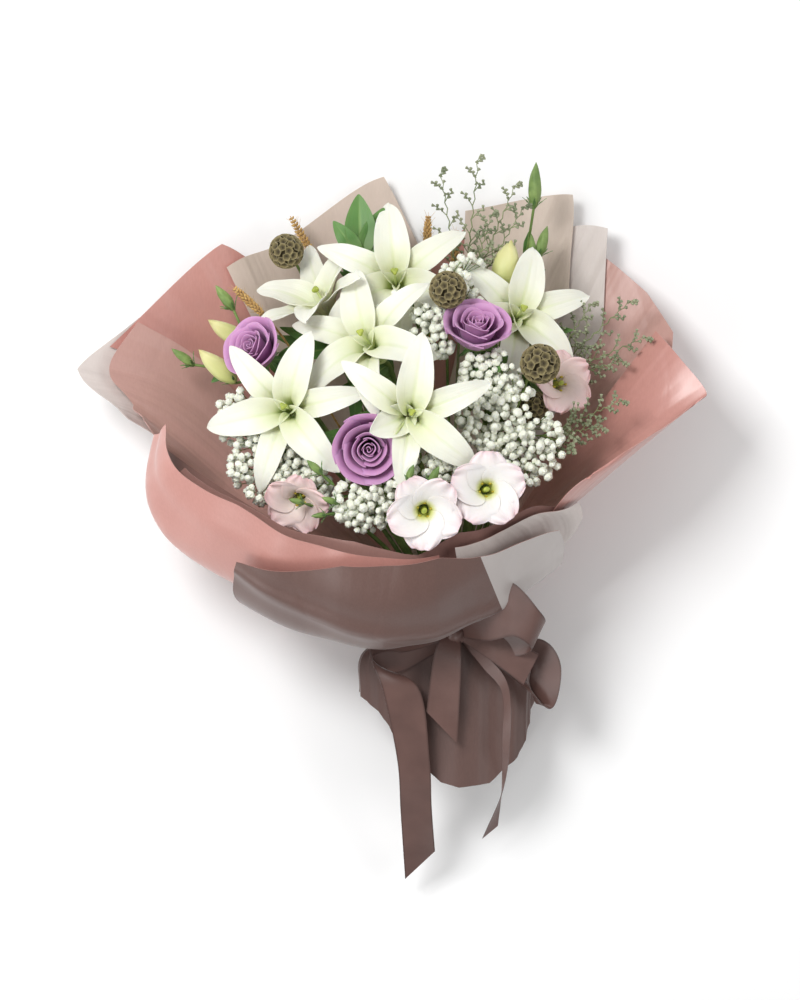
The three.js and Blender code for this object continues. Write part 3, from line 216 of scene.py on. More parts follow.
@dataclass(frozen=True)
class Axes:
    """A place with its own directions: z is where a bloom faces."""

    at: Array
    x: Array
    y: Array
    z: Array

    @classmethod
    def facing(cls, at: Sequence[float], face: Sequence[float], spin: float = 0.0) -> "Axes":
        """Makes the axes of a piece.

        Args:
            at: its place, in mm.
            face: where its z points.
            spin: its turn about z, in degrees.

        Returns:
            The axes.
        """
        z = unit(face)
        side = np.array([0.0, 1, 0]) if abs(z[1]) < 0.9 else np.array([1.0, 0, 0])
        x = unit(np.cross(side, z))
        y = np.cross(z, x)
        angle = math.radians(spin)
        spun = x * math.cos(angle) + y * math.sin(angle)
        return cls(np.array(at, float), spun, np.cross(z, spun), z)

    def point(self, x: Array, y: Array, z: Array) -> Array:
        """Local coordinates as n x 3 layout points.

        Args:
            x, y, z: the coordinates in mm.

        Returns:
            The points.
        """
        return (
            self.at
            + np.multiply.outer(x, self.x)
            + np.multiply.outer(y, self.y)
            + np.multiply.outer(z, self.z)
        )

    def out(self, around: float) -> Array:
        """The direction away from z at an angle round it, in radians."""
        return self.x * math.cos(around) + self.y * math.sin(around)

    def matrix(self, size: float = 1.0) -> Matrix:
        """The placing of a template made in mm, as a matrix in metres.

        Args:
            size: how large the template is made.

        Returns:
            The matrix.
        """
        columns = np.column_stack([self.x, self.y, self.z]) * size * MM
        made = np.eye(4)
        made[:3, :3] = columns
        made[:3, 3] = metres(self.at)
        return Matrix(made.tolist())


# --- finishes


class Graph:
    """The nodes of one material."""

    def __init__(self, name: str) -> None:
        """Starts a material of that name.

        Args:
            name: the material's name.
        """
        self.material = bpy.data.materials.new(name)
        self.material.use_nodes = True
        self.tree = self.material.node_tree
        self.shader = self.tree.nodes["Principled BSDF"]
        source = self.tree.nodes.new("ShaderNodeTexCoord")
        self.place = source.outputs["Object"]
        self.uv = source.outputs["UV"]

    def feed(self, socket: Socket, value: object) -> None:
        """Links a socket to another one, or sets it to a value.

        Args:
            socket: what is fed.
            value: another socket or a value.
        """
        if isinstance(value, Socket):
            self.tree.links.new(value, socket)
        else:
            socket.default_value = value

    def node(self, kind: str, **values: object) -> bpy.types.Node:
        """Adds a node.

        Args:
            kind: its type.
            **values: what its sockets and settings hold.

        Returns:
            The node.
        """
        made = self.tree.nodes.new(kind)
        for key, value in values.items():
            if key in made.inputs:
                self.feed(made.inputs[key], value)
            else:
                setattr(made, key, value)
        return made

    def stretched(self, scale: Point, source: Socket | None = None) -> Socket:
        """Coordinates stretched by a scale for each axis."""
        made = self.node("ShaderNodeMapping", Vector=source or self.place, Scale=scale)
        return made.outputs["Vector"]

    def noise(self, scale: float, detail: float = 3.0, source: Socket | None = None) -> Socket:
        """Noise of a scale per metre."""
        place = source or self.place
        made = self.node("ShaderNodeTexNoise", Vector=place, Scale=scale, Detail=detail)
        return made.outputs["Fac"]

    def along(self) -> tuple[Socket, Socket]:
        """The shares across and along a petal or sheet, each 0 to 1."""
        made = self.node("ShaderNodeSeparateXYZ", Vector=self.uv)
        return made.outputs["X"], made.outputs["Y"]

    def ramp(self, share: Socket, *stops: tuple[float, Colour]) -> Socket:
        """Colours along a share from 0 to 1.

        Args:
            share: the share.
            *stops: places from 0 to 1 with their colours.

        Returns:
            The colour.
        """
        made = self.node("ShaderNodeValToRGB", Fac=share)
        elements = made.color_ramp.elements
        while len(elements) < len(stops):
            elements.new(0.5)
        for element, (place, colour) in zip(elements, stops):
            element.position = place
            element.color = colour
        return made.outputs["Color"]

    def blend(self, share: Socket | float, a: object, b: object, kind: str = "MIX") -> Socket:
        """One colour over another by a share.

        Args:
            share: how much of b shows.
            a, b: the two colours.
            kind: the rule of the blend.

        Returns:
            The colour.
        """
        made = self.tree.nodes.new("ShaderNodeMix")
        made.data_type = "RGBA"
        made.blend_type = kind
        for index, value in ((0, share), (6, a), (7, b)):
            self.feed(made.inputs[index], value)
        return made.outputs[2]

    def sums(self, kind: str, *values: object) -> Socket:
        """A sum or another rule of arithmetic on values.

        Args:
            kind: the rule.
            *values: sockets or numbers.

        Returns:
            The result.
        """
        made = self.node("ShaderNodeMath", operation=kind)
        for socket, value in zip(made.inputs, values):
            self.feed(socket, value)
        return made.outputs[0]

    def sideways(self, across: Socket) -> Socket:
        """How far a share across is from the middle, 0 to 0.5."""
        return self.sums("ABSOLUTE", self.sums("SUBTRACT", across, 0.5))

    def relief(self, height: Socket, depth: float, strength: float = 1.0) -> None:
        """Gives the surface a relief of a depth in mm."""
        made = self.node("ShaderNodeBump", Height=height, Strength=strength, Distance=depth * MM)
        self.feed(self.shader.inputs["Normal"], made.outputs["Normal"])

    def finish(self, **values: object) -> bpy.types.Material:
        """Sets the shader's sockets, named with _ for a space, and gives the material."""
        for key, value in values.items():
            self.feed(self.shader.inputs[key.replace("_", " ")], value)
        return self.material


class Finish(Protocol):
    """What every finish can do."""

    def build(self) -> bpy.types.Material:
        """Makes the material."""


@lru_cache(maxsize=None)
def material_of(finish: Finish) -> bpy.types.Material:
    """The one material of a finish."""
    return finish.build()


@dataclass(frozen=True)
class Paper:
    """Wrapping paper: a faint fibre, soft creases, long gathers and a sheen.

    gathers is the scale of the gathers across, along and through the sheet, and gathered their
    depth. corner says where a paler turned corner starts, and how that line slants.
    """

    name: str
    light: Colour
    dark: Colour
    roughness: float = 0.42
    coat: float = 0.15
    sheen: float = 0.2
    alpha: float = 1.0
    fibre: float = 0.05
    gathers: Point = (11.0, 0.7, 1.0)
    gathered: float = 7.0
    corner: tuple[float, float] | None = None
    corner_tone: Colour = (0.6, 0.56, 0.54, 1.0)

    def build(self) -> bpy.types.Material:
        """Makes the material.

        Returns:
            The material.
        """
        graph = Graph(self.name)
        clouds = graph.noise(9.0, 2.0)
        base = graph.blend(clouds, self.dark, self.light)
        fibres = graph.noise(700.0, 4.0, graph.stretched((1.0, 0.22, 1.0)))
        base = graph.blend(0.18, base, graph.ramp(fibres, (0.3, self.dark), (0.7, self.light)))
        if self.corner:
            cut = graph.node("ShaderNodeSeparateXYZ", Vector=graph.place)
            start, slant = self.corner
            line = graph.sums("MULTIPLY_ADD", cut.outputs["Y"], slant, cut.outputs["X"])
            beyond = graph.sums("GREATER_THAN", line, start)
            base = graph.blend(beyond, base, graph.blend(0.25, self.corner_tone, base))
        creases = graph.node(
            "ShaderNodeTexVoronoi",
            Vector=graph.stretched((1.0, 0.45, 1.0)),
            feature="DISTANCE_TO_EDGE",
            Scale=13.0,
        ).outputs["Distance"]
        height = graph.sums("MULTIPLY", graph.sums("MINIMUM", creases, 0.05), 9.0)
        height = graph.sums("ADD", height, graph.sums("MULTIPLY", fibres, self.fibre))
        gathers = graph.noise(1.0, 1.5, graph.stretched(self.gathers, graph.uv))
        height = graph.sums("MULTIPLY_ADD", gathers, self.gathered, height)
        graph.relief(height, 1.0, 0.35)
        rough = graph.sums("MULTIPLY_ADD", clouds, 0.1, self.roughness - 0.05)
        return graph.finish(
            Base_Color=base,
            Roughness=rough,
            Coat_Weight=self.coat,
            Coat_Roughness=0.35,
            Sheen_Weight=self.sheen,
            Sheen_Roughness=0.4,
            Alpha=self.alpha,
        )


@dataclass(frozen=True)
class Satin:
    """Satin ribbon: fine threads across it, a darker edge and a long gloss."""

    name: str
    light: Colour
    dark: Colour

    def build(self) -> bpy.types.Material:
        """Makes the material.

        Returns:
            The material.
        """
        graph = Graph(self.name)
        across, _ = graph.along()
        stops = ((0.0, self.light), (0.44, self.light), (0.485, self.dark))
        base = graph.ramp(graph.sideways(across), *stops)
        base = graph.blend(graph.noise(30.0), base, self.dark)
        threads = graph.node(
            "ShaderNodeTexWave", Vector=graph.stretched((1, 1, 1), graph.uv), Scale=160.0,
            bands_direction="Y",
        ).outputs["Fac"]
        graph.relief(graph.sums("ADD", threads, graph.noise(500.0)), 0.04, 0.5)
        return graph.finish(
            Base_Color=graph.blend(0.85, self.dark, base),
            Roughness=0.34,
            Anisotropic=0.5,
            Sheen_Weight=0.35,
            Sheen_Roughness=0.3,
        )


class Vein(Enum):
    """How a petal or leaf is veined."""

    STRAIGHT = 26.0
    FINE = 44.0
    LEAF = 14.0


@dataclass(frozen=True)
class Petal:
    """A petal: its colours from root to tip, a rim, a midrib and veins along it."""

    name: str
    stops: tuple[tuple[float, Colour], ...]
    rim: Colour
    rim_share: float = 0.0
    rim_sides: bool = True
    rib: Colour | None = None
    rib_share: float = 0.25
    vein: Vein = Vein.STRAIGHT
    depth: float = 0.12
    glow: float = 0.25
    roughness: float = 0.48

    def build(self) -> bpy.types.Material:
        """Makes the material.

        Returns:
            The material.
        """
        graph = Graph(self.name)
        across, along = graph.along()
        base = graph.ramp(along, *self.stops)
        side = graph.sums("MULTIPLY", graph.sideways(across), 2)
        if self.rib:
            near = graph.ramp(side, (0.0, (1, 1, 1, 1)), (0.16, (0, 0, 0, 1)))
            fade = graph.ramp(along, (0.2, (1, 1, 1, 1)), (0.95, (0.1, 0.1, 0.1, 1)))
            share = graph.sums("MULTIPLY", graph.sums("MULTIPLY", near, fade), self.rib_share)
            base = graph.blend(share, base, self.rib)
        if self.rim_share:
            out = graph.sums("POWER", along, 7)
            if self.rim_sides:
                out = graph.sums("MAXIMUM", graph.sums("POWER", side, 5), out)
            cloudy = graph.sums("MULTIPLY", out, graph.noise(90.0))
            base = graph.blend(graph.sums("MULTIPLY", cloudy, 2 * self.rim_share), base, self.rim)
        deeper = graph.blend(1.0, base, base, "MULTIPLY")
        base = graph.blend(graph.sums("MULTIPLY", graph.noise(60.0), 0.25), base, deeper)
        veins = graph.noise(1.0, 2.0, graph.stretched((self.vein.value, 2.2, 1), graph.uv))
        fine = graph.noise(900.0, 2.0)
        graph.relief(graph.sums("MULTIPLY_ADD", fine, 0.15, veins), self.depth * 5, 0.5)
        return graph.finish(
            Base_Color=base,
            Roughness=self.roughness,
            Subsurface_Weight=self.glow,
            Subsurface_Radius=(1.0, 0.8, 0.6),
            Subsurface_Scale=0.002,
            Sheen_Weight=0.15,
        )

# Brings the scene's placings up to date.

@dataclass(frozen=True)
class Growth:
    """Stems, husks, grains and florets: two tones in patches, with a fine grain."""

    name: str
    light: Colour
    dark: Colour
    patch: float = 60.0
    grain: float = 500.0
    depth: float = 0.2
    roughness: float = 0.55
    glow: float = 0.0
    sheen: float = 0.0

    def build(self) -> bpy.types.Material:
        """Makes the material.

        Returns:
            The material.
        """
        graph = Graph(self.name)
        base = graph.ramp(graph.noise(self.patch), (0.32, self.dark), (0.68, self.light))
        grain = graph.noise(self.grain, 3.0, graph.stretched((1.0, 0.3, 1.0)))
        base = graph.blend(graph.sums("MULTIPLY", grain, 0.35), base, self.dark)
        graph.relief(grain, self.depth, 0.6)
        return graph.finish(
            Base_Color=base,
            Roughness=self.roughness,
            Subsurface_Weight=self.glow,
            Subsurface_Radius=(1.0, 0.9, 0.7),
            Subsurface_Scale=0.0015,
            Sheen_Weight=self.sheen,
        )


PINK = Paper("paper_pink", tint(208, 152, 142), tint(178, 124, 115), 0.33, 0.4)
TAUPE = Paper("paper_taupe", tint(220, 203, 190), tint(198, 180, 166), 0.5, 0.1)
PALE = Paper("paper_pale", tint(228, 219, 214), tint(208, 196, 190), 0.5, 0.1, alpha=0.86)
BROWN = Paper("paper_brown_rose", tint(102, 75, 68), tint(76, 54, 49), 0.45, 0.1)
COLLAR = Paper("paper_collar", tint(116, 86, 78), tint(84, 60, 54), 0.4, 0.2)
# A darker copy of the pink paper, put on the faces that look into the bowl or down to the floor:
# painted shade.
MAUVE_SHADE = Paper("paper_mauve_painted_shade", tint(170, 130, 121), tint(140, 103, 96), 0.4, 0.25)
ROSE = Paper("paper_dusty_rose", tint(204, 162, 152), tint(176, 134, 125), 0.38, 0.3)
RIBBON = Satin("satin_ribbon", tint(120, 90, 83), tint(78, 56, 51))
LILY_WHITE = Petal(
    "lily_petal",
    (
        (0.0, tint(146, 172, 72)),
        (0.15, tint(196, 212, 124)),
        (0.34, tint(224, 228, 190)),
        (0.6, tint(234, 234, 218)),
        (1.0, tint(238, 237, 226)),
    ),
    rim=tint(242, 243, 230),
    rim_share=0.3,
    rib=tint(206, 218, 158),
    rib_share=0.55,
)
# Darker towards the root: painted shade in the depths of the rose.
ROSE_MAUVE = Petal(
    "rose_petal",
    ((0.0, tint(112, 56, 104)), (0.5, tint(172, 112, 166)), (1.0, tint(204, 150, 196))),
    rim=tint(222, 180, 214),
    rim_share=0.35,
    vein=Vein.FINE,
    depth=0.06,
    roughness=0.6,
)
LISIANTHUS_WHITE = Petal(
    "lisianthus_white",
    (
        (0.0, tint(150, 156, 40)),
        (0.2, tint(182, 188, 70)),
        (0.33, tint(220, 222, 152)),
        (0.46, tint(236, 233, 226)),
        (1.0, tint(240, 234, 234)),
    ),
    rim=tint(232, 176, 186),
    rim_share=0.4,
    rim_sides=False,
    vein=Vein.FINE,
)
LISIANTHUS_PINK = Petal(
    "lisianthus_pink",
    ((0.0, tint(196, 186, 116)), (0.3, tint(240, 222, 212)), (1.0, tint(238, 212, 210))),
    rim=tint(226, 178, 184),
    rim_share=0.5,
    rim_sides=False,
    vein=Vein.FINE,
)
BUD_CREAM = Petal(
    "cream_bud",
    (
        (0.0, tint(150, 172, 84)),
        (0.3, tint(202, 208, 132)),
        (0.75, tint(226, 222, 164)),
        (1.0, tint(206, 200, 132)),
    ),
    rim=tint(196, 190, 120),
    rim_share=0.2,
    glow=0.2,
)
LEAF = Petal(
    "leaf_green",
    ((0.0, tint(104, 134, 66)), (0.5, tint(82, 128, 58)), (1.0, tint(92, 138, 66))),
    rim=tint(120, 150, 80),
    rim_share=0.2,
    rib=tint(150, 180, 104),
    rib_share=0.8,
    vein=Vein.LEAF,
    glow=0.1,
    roughness=0.5,
)
STEM = Growth("stem_green", tint(134, 158, 84), tint(92, 120, 58))
SEPAL = Growth("sepal_green", tint(140, 164, 92), tint(98, 126, 64), 90.0)
POD = Growth("seed_head_husk", tint(92, 81, 52), tint(60, 51, 33), 120.0, 900.0, 0.3, 0.85)
CUP = Petal(
    "seed_head_cup",
    ((0.0, tint(48, 41, 26)), (0.55, tint(92, 82, 52)), (1.0, tint(146, 133, 92))),
    rim=tint(172, 160, 118),
    rim_share=0.2,
    depth=0.1,
    glow=0.1,
    roughness=0.85,
)
POD_DARK = Growth("seed_head_star", tint(74, 62, 44), tint(48, 40, 30), roughness=0.9)
LAVENDER_TWIG = Growth("sea_lavender_twig", tint(146, 156, 110), tint(106, 120, 80))
LAVENDER_FLORET = Growth(
    "sea_lavender_floret", tint(172, 176, 146), tint(118, 128, 98), roughness=0.9
)
GRASS = Growth(
    "golden_grass", tint(220, 184, 112), tint(172, 130, 70), 200.0, 800.0, 0.2, 0.7, sheen=0.3
)
FLORET = Growth(
    "babys_breath_floret", tint(254, 254, 248), tint(232, 236, 214), 620.0, 1200.0, 0.45, 0.75, 0.25
)
STIGMA = Growth("stigma", tint(186, 196, 84), tint(140, 156, 60), 200.0)
FILAMENT = Growth("filament", tint(222, 230, 172), tint(190, 206, 130))
STAMEN = Growth("stamen_yellow", tint(206, 190, 70), tint(170, 150, 40), 300.0)


# --- meshes


Line = tuple[Array, Sequence[float]]
Faces = list[bmesh.types.BMFace]


def tubes(lines: Iterable[Line], sides: int = 6) -> Mesh:
    """Round stalks along lines, as one mesh.

    Args:
        lines: pairs of points in mm and the radius at each.
        sides: 4, 6, 8 and so on.

    Returns:
        The mesh, in metres.
    """
    curve = bpy.data.curves.new("stalks", "CURVE")
    curve.dimensions = "3D"
    curve.bevel_depth = MM
    curve.bevel_resolution = sides // 2 - 2
    curve.use_fill_caps = True
    for points, radii in lines:
        stalk = curve.splines.new("POLY")
        stalk.points.add(len(points) - 1)
        placed = np.hstack([metres(np.array(points)), np.ones((len(points), 1))])
        stalk.points.foreach_set("co", placed.ravel())
        stalk.points.foreach_set("radius", np.array(radii, float))
    holder = in_scene("stalks", curve)
    ready = holder.evaluated_get(bpy.context.evaluated_depsgraph_get())
    mesh = bpy.data.meshes.new_from_object(ready)
    bpy.data.objects.remove(holder)
    bpy.data.curves.remove(curve)
    return mesh


class Clay:
    """A mesh in the making: grids bent to shape, stalks and copies, in several tones."""

    def __init__(self) -> None:
        """Starts empty."""
        self.bm = bmesh.new()
        self.uv = self.bm.loops.layers.uv.new("UVMap")

    def bend(
        self, surface: Surface, across: int, along: int, tone: int = 0, weld: bool = False
    ) -> Faces:
        """Bends a flat grid over a surface.

        Args:
            surface: takes u, -1 to 1 across, and v, 0 to 1 along, and gives points in mm.
            across, along: the grid's steps.
            tone: the index of its finish.
            weld: whether its seam and poles are closed.

        Returns:
            The grid's faces.
        """
        made = bmesh.ops.create_grid(
            self.bm, x_segments=across, y_segments=along, size=1.0
        )["verts"]
        flat = np.array([vert.co[:] for vert in made])
        faces = list(dict.fromkeys(face for vert in made for face in vert.link_faces))
        for face in faces:
            face.material_index = tone
            for loop in face.loops:
                loop[self.uv].uv = ((loop.vert.co.x + 1) / 2, (loop.vert.co.y + 1) / 2)
        for vert, point in zip(made, metres(surface(flat[:, 0], (flat[:, 1] + 1) / 2))):
            vert.co = point
        if weld:
            bmesh.ops.remove_doubles(self.bm, verts=made, dist=2e-6)
            faces = [face for face in faces if face.is_valid]
            bmesh.ops.recalc_face_normals(self.bm, faces=faces)
        return faces

    def thicken(self, faces: Faces, thick: float, lining: int | None = None) -> None:
        """Gives sheets a thickness in mm, with a finish of its own on the far side.

        Args:
            faces: the sheets.
            thick: the thickness.
            lining: the index of the far side's finish.
        """
        self.bm.normal_update()
        made = bmesh.ops.solidify(self.bm, geom=faces, thickness=thick * MM)["geom"]
        fresh = [part for part in made if isinstance(part, bmesh.types.BMFace)]
        if lining is not None:
            for face in fresh:
                face.material_index = lining
        bmesh.ops.recalc_face_normals(self.bm, faces=list(self.bm.faces))

    def add(self, mesh: Mesh, tone: int, place: Matrix | None = None) -> None:
        """Adds a finished mesh, at a place if one is given.

        Args:
            mesh: the mesh.
            tone: the index of its finish.
            place: where it goes.
        """
        verts, faces = len(self.bm.verts), len(self.bm.faces)
        self.bm.from_mesh(mesh)
        self.bm.faces.ensure_lookup_table()
        for face in self.bm.faces[faces:]:
            face.material_index = tone
        if place is not None:
            self.bm.verts.ensure_lookup_table()
            for vert in self.bm.verts[verts:]:
                vert.co = place @ vert.co

    def stalks(self, lines: Iterable[Line], tone: int, sides: int = 6) -> None:
        """Adds round stalks along lines."""
        mesh = tubes(lines, sides)
        self.add(mesh, tone)
        bpy.data.meshes.remove(mesh)

    def strew(self, mesh: Mesh, places: Iterable[Matrix], tone: int) -> None:
        """Adds a copy of a small mesh at each place, and then lets the mesh go."""
        for place in places:
            self.add(mesh, tone, place)
        bpy.data.meshes.remove(mesh)

    def mesh(self, name: str) -> Mesh:
        """Turns the clay into a smoothly shaded mesh.

        Args:
            name: the mesh's name.

        Returns:
            The mesh.
        """
        mesh = mesh_from(self.bm, name)
        mesh.polygons.foreach_set("use_smooth", [True] * len(mesh.polygons))
        mesh.set_sharp_from_angle(angle=SHARP_ANGLE)
        return mesh


def piece(name: str, clay: Clay, finishes: Sequence[Finish], slot: str, *nodes: str) -> Piece:
    """Makes a finished piece that stands for solids.

    Args:
        name: its name.
        clay: its shape.
        finishes: its finishes, one for each tone.
        slot: the record's material slot, which is not used.
        nodes: the solids that it stands for.

    Returns:
        The piece.
    """
    made = in_scene(name, clay.mesh(name))
    for finish in finishes:
        made.data.materials.append(material_of(finish))
    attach(made, "root")
    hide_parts(*nodes)
    LOG.info("%s: %d faces", name, len(made.data.polygons))
    return made


class Room:
    """The surfaces of the blooms, which florets, leaves and twigs are kept clear of."""

    def __init__(self, pieces: Iterable[Piece]) -> None:
        """Takes up the surfaces of pieces.

        Args:
            pieces: the blooms.
        """
        corners: list[Vector] = []
        faces: list[list[int]] = []
        for each in pieces:
            first = len(corners)
            corners.extend(vert.co.copy() for vert in each.data.vertices)
            faces.extend([first + k for k in face.vertices] for face in each.data.polygons)
        self.tree = BVHTree.FromPolygons(corners, faces)

    def gap(self, point: Array) -> float:
        """How far a layout point is from the nearest bloom, in mm."""
        found = self.tree.find_nearest(Vector(metres(point)), NEAR * MM)
        return NEAR if found[3] is None else found[3] / MM

    def over(self, point: Array, reach: float) -> bool:
        """Whether a layout point hangs over a bloom that lies within a reach in mm below it."""
        down = Vector((0, 0, -1))
        return self.tree.ray_cast(Vector(metres(point)), down, reach * MM)[0] is not None


# --- the wrapper


@dataclass(frozen=True)
class Sweep:
    """The wrapper's middle surface: curved ribs from the tie outwards under a smooth skin."""

    ribs: tuple[tuple[float, tuple[Point, ...]], ...]
    ripple: float

    @cached_property
    def angles(self) -> Array:
        """Each rib's angle round the tie, 0 at the back."""
        return np.array([angle for angle, _ in self.ribs], float)

    @cached_property
    def knots(self) -> Array:
        """Each rib's points with the one that it would come from and the one beyond it.

        Returns:
            Points by rib and by place along it.
        """
        ties = round_neck(np.radians(self.angles), NECK[1], TIE_RADIUS, TIE_RADIUS)
        ribs = np.concatenate([ties[:, None], np.array([rib for _, rib in self.ribs], float)], 1)
        before = ribs[:, :1] - np.array([0, TIE_PULL, 0])
        beyond = 2 * ribs[:, -1:] - ribs[:, -2:-1]
        return np.concatenate([before, ribs, beyond], 1)

    def point(self, angle: Array, share: Array) -> Array:
        """Points of the surface.

        Args:
            angle: round the tie, in degrees.
            share: 0 at the tie and 1 at the far edge.

        Returns:
            n x 3 points in mm.
        """
        count = self.knots.shape[1] - 2
        above = np.clip((share - TIE_SHARE) / (1 - TIE_SHARE), 0, None) * (count - 1)
        k = np.clip(np.floor(above), 0, count - 2).astype(int)
        t = (above - k)[:, None, None]
        corners = [self.knots[:, k + step].transpose(1, 0, 2) for step in range(4)]
        along = spline(*corners, t)
        low = share < TIE_SHARE
        y = mix(SHEET_START_Y, NECK[1], share[low] / TIE_SHARE)
        for j, around in enumerate(np.radians(self.angles)):
            along[low, j] = round_neck(np.full(len(y), around), y, TIE_RADIUS, TIE_RADIUS)
        first = 2 * along[:, :1] - along[:, 1:2]
        last = 2 * along[:, -1:] - along[:, -2:-1]
        padded = np.concatenate([first, along, last], 1)
        k = np.clip(np.searchsorted(self.angles, angle, "right") - 1, 0, len(self.ribs) - 2)
        t = ((angle - self.angles[k]) / (self.angles[k + 1] - self.angles[k]))[:, None]
        rows = np.arange(len(angle))
        return spline(*(padded[rows, k + step] for step in range(4)), t)

    def normal(self, angle: Array, share: Array) -> Array:
        """The outward directions of the surface.

        Args:
            angle, share: as for point.

        Returns:
            n x 3 directions.
        """
        da = self.point(angle + 0.2, share) - self.point(angle - 0.2, share)
        ds = self.point(angle, np.minimum(1, share + 0.004)) - self.point(
            angle, np.maximum(0, share - 0.004)
        )
        out = np.cross(ds, da)
        return out / np.linalg.norm(out, axis=1, keepdims=True)

    def waves(self, angle: Array, share: Array) -> Array:
        """The soft folds that all sheets of the sweep share, in mm."""
        broad = np.sin(0.13 * angle + 2.1 * share) + 0.8 * np.sin(0.29 * angle - 2.7 * share + 1)
        pinched = np.abs(np.sin(0.083 * angle + 1.2 * share + 0.4)) ** 9
        return self.ripple * smooth(share * 1.4) * (broad + 1.3 * pinched)


BACK = Sweep(
    (
        (255, ((-108, -18, 48), (-186, 48, 72), (-238, 100, 96))),
        (270, ((-112, 8, 40), (-202, 82, 64), (-264, 120, 88))),
        (285, ((-108, 36, 30), (-200, 112, 56), (-283, 138, 78))),
        (303, ((-95, 62, 18), (-176, 140, 44), (-243, 176, 64))),
        (322, ((-62, 78, 8), (-120, 168, 24), (-160, 247, 46))),
        (337, ((-30, 82, 2), (-72, 180, 10), (-104, 262, 28))),
        (352, ((6, 84, -2), (-8, 190, 3), (-16, 312, 18))),
        (370, ((48, 84, -2), (58, 190, 2), (60, 296, 16))),
        (387, ((84, 78, 0), (112, 190, 7), (157, 298, 20))),
        (402, ((108, 62, 6), (148, 166, 18), (192, 266, 32))),
        (422, ((128, 42, 18), (184, 124, 42), (236, 200, 60))),
        (440, ((140, 16, 38), (204, 82, 76), (266, 150, 92))),
        (455, ((140, -6, 60), (208, 46, 108), (284, 100, 108))),
        (470, ((132, -22, 94), (188, 28, 156), (232, 62, 156))),
        (485, ((116, -34, 100), (154, 16, 166), (184, 30, 170))),
    ),
    1.4,
)
FRONT = Sweep(
    (
        (105, ((122, -42, 58), (170, 0, 90), (178, 20, 120), (166, 30, 142))),
        (120, ((114, -54, 72), (156, -18, 106), (156, 4, 146), (138, 14, 170))),
        (137, ((98, -64, 84), (128, -38, 118), (124, -8, 160), (106, 2, 184))),
        (157, ((74, -72, 94), (88, -70, 130), (82, -38, 170), (72, -16, 194))),
        (180, ((44, -76, 100), (36, -97, 134), (34, -66, 178), (32, -24, 201))),
        (203, ((10, -78, 94), (-26, -102, 128), (-28, -72, 174), (-26, -26, 199))),
        (223, ((-30, -78, 84), (-88, -88, 118), (-92, -54, 164), (-84, -16, 192))),
        (243, ((-66, -70, 74), (-152, -52, 106), (-154, -18, 150), (-142, 14, 178))),
        (260, ((-86, -48, 70), (-200, -22, 98), (-200, 14, 136), (-184, 38, 162))),
        (275, ((-96, -24, 66), (-216, 26, 94), (-216, 54, 124), (-202, 66, 146))),
        (288, ((-98, 4, 62), (-206, 72, 92), (-210, 82, 114), (-204, 92, 128))),
    ),
    1.2,
)
BACK_ROWS = (0.0, TIE_SHARE, 0.13, 0.26, 0.5)
FRONT_ROWS = (0.0, TIE_SHARE, 0.13, 0.24, 0.38, 0.54, 0.72)


def laid_out(surface: Surface) -> tuple[tuple[float, float], float]:
    """Measures a sheet as if it were laid flat.

    Args:
        surface: the sheet, as for Clay.bend.

    Returns:
        Its greatest width and length, and its area, in metres.
    """
    count = 48
    u, v = np.meshgrid(np.linspace(-1, 1, count + 1), np.linspace(0, 1, count + 1))
    points = surface(u.ravel(), v.ravel()).reshape(count + 1, count + 1, 3) * MM
    width = np.linalg.norm(np.diff(points, axis=1), axis=2).sum(1).max()
    length = np.linalg.norm(np.diff(points, axis=0), axis=2).sum(0).mean()
    sides = points[:-1, 1:] - points[:-1, :-1], points[1:, :-1] - points[:-1, :-1]
    more = points[1:, :-1] - points[1:, 1:], points[:-1, 1:] - points[1:, 1:]
    area = np.linalg.norm(np.cross(*sides), axis=2).sum() / 2
    area += np.linalg.norm(np.cross(*more), axis=2).sum() / 2
    return (float(width), float(length)), float(area)


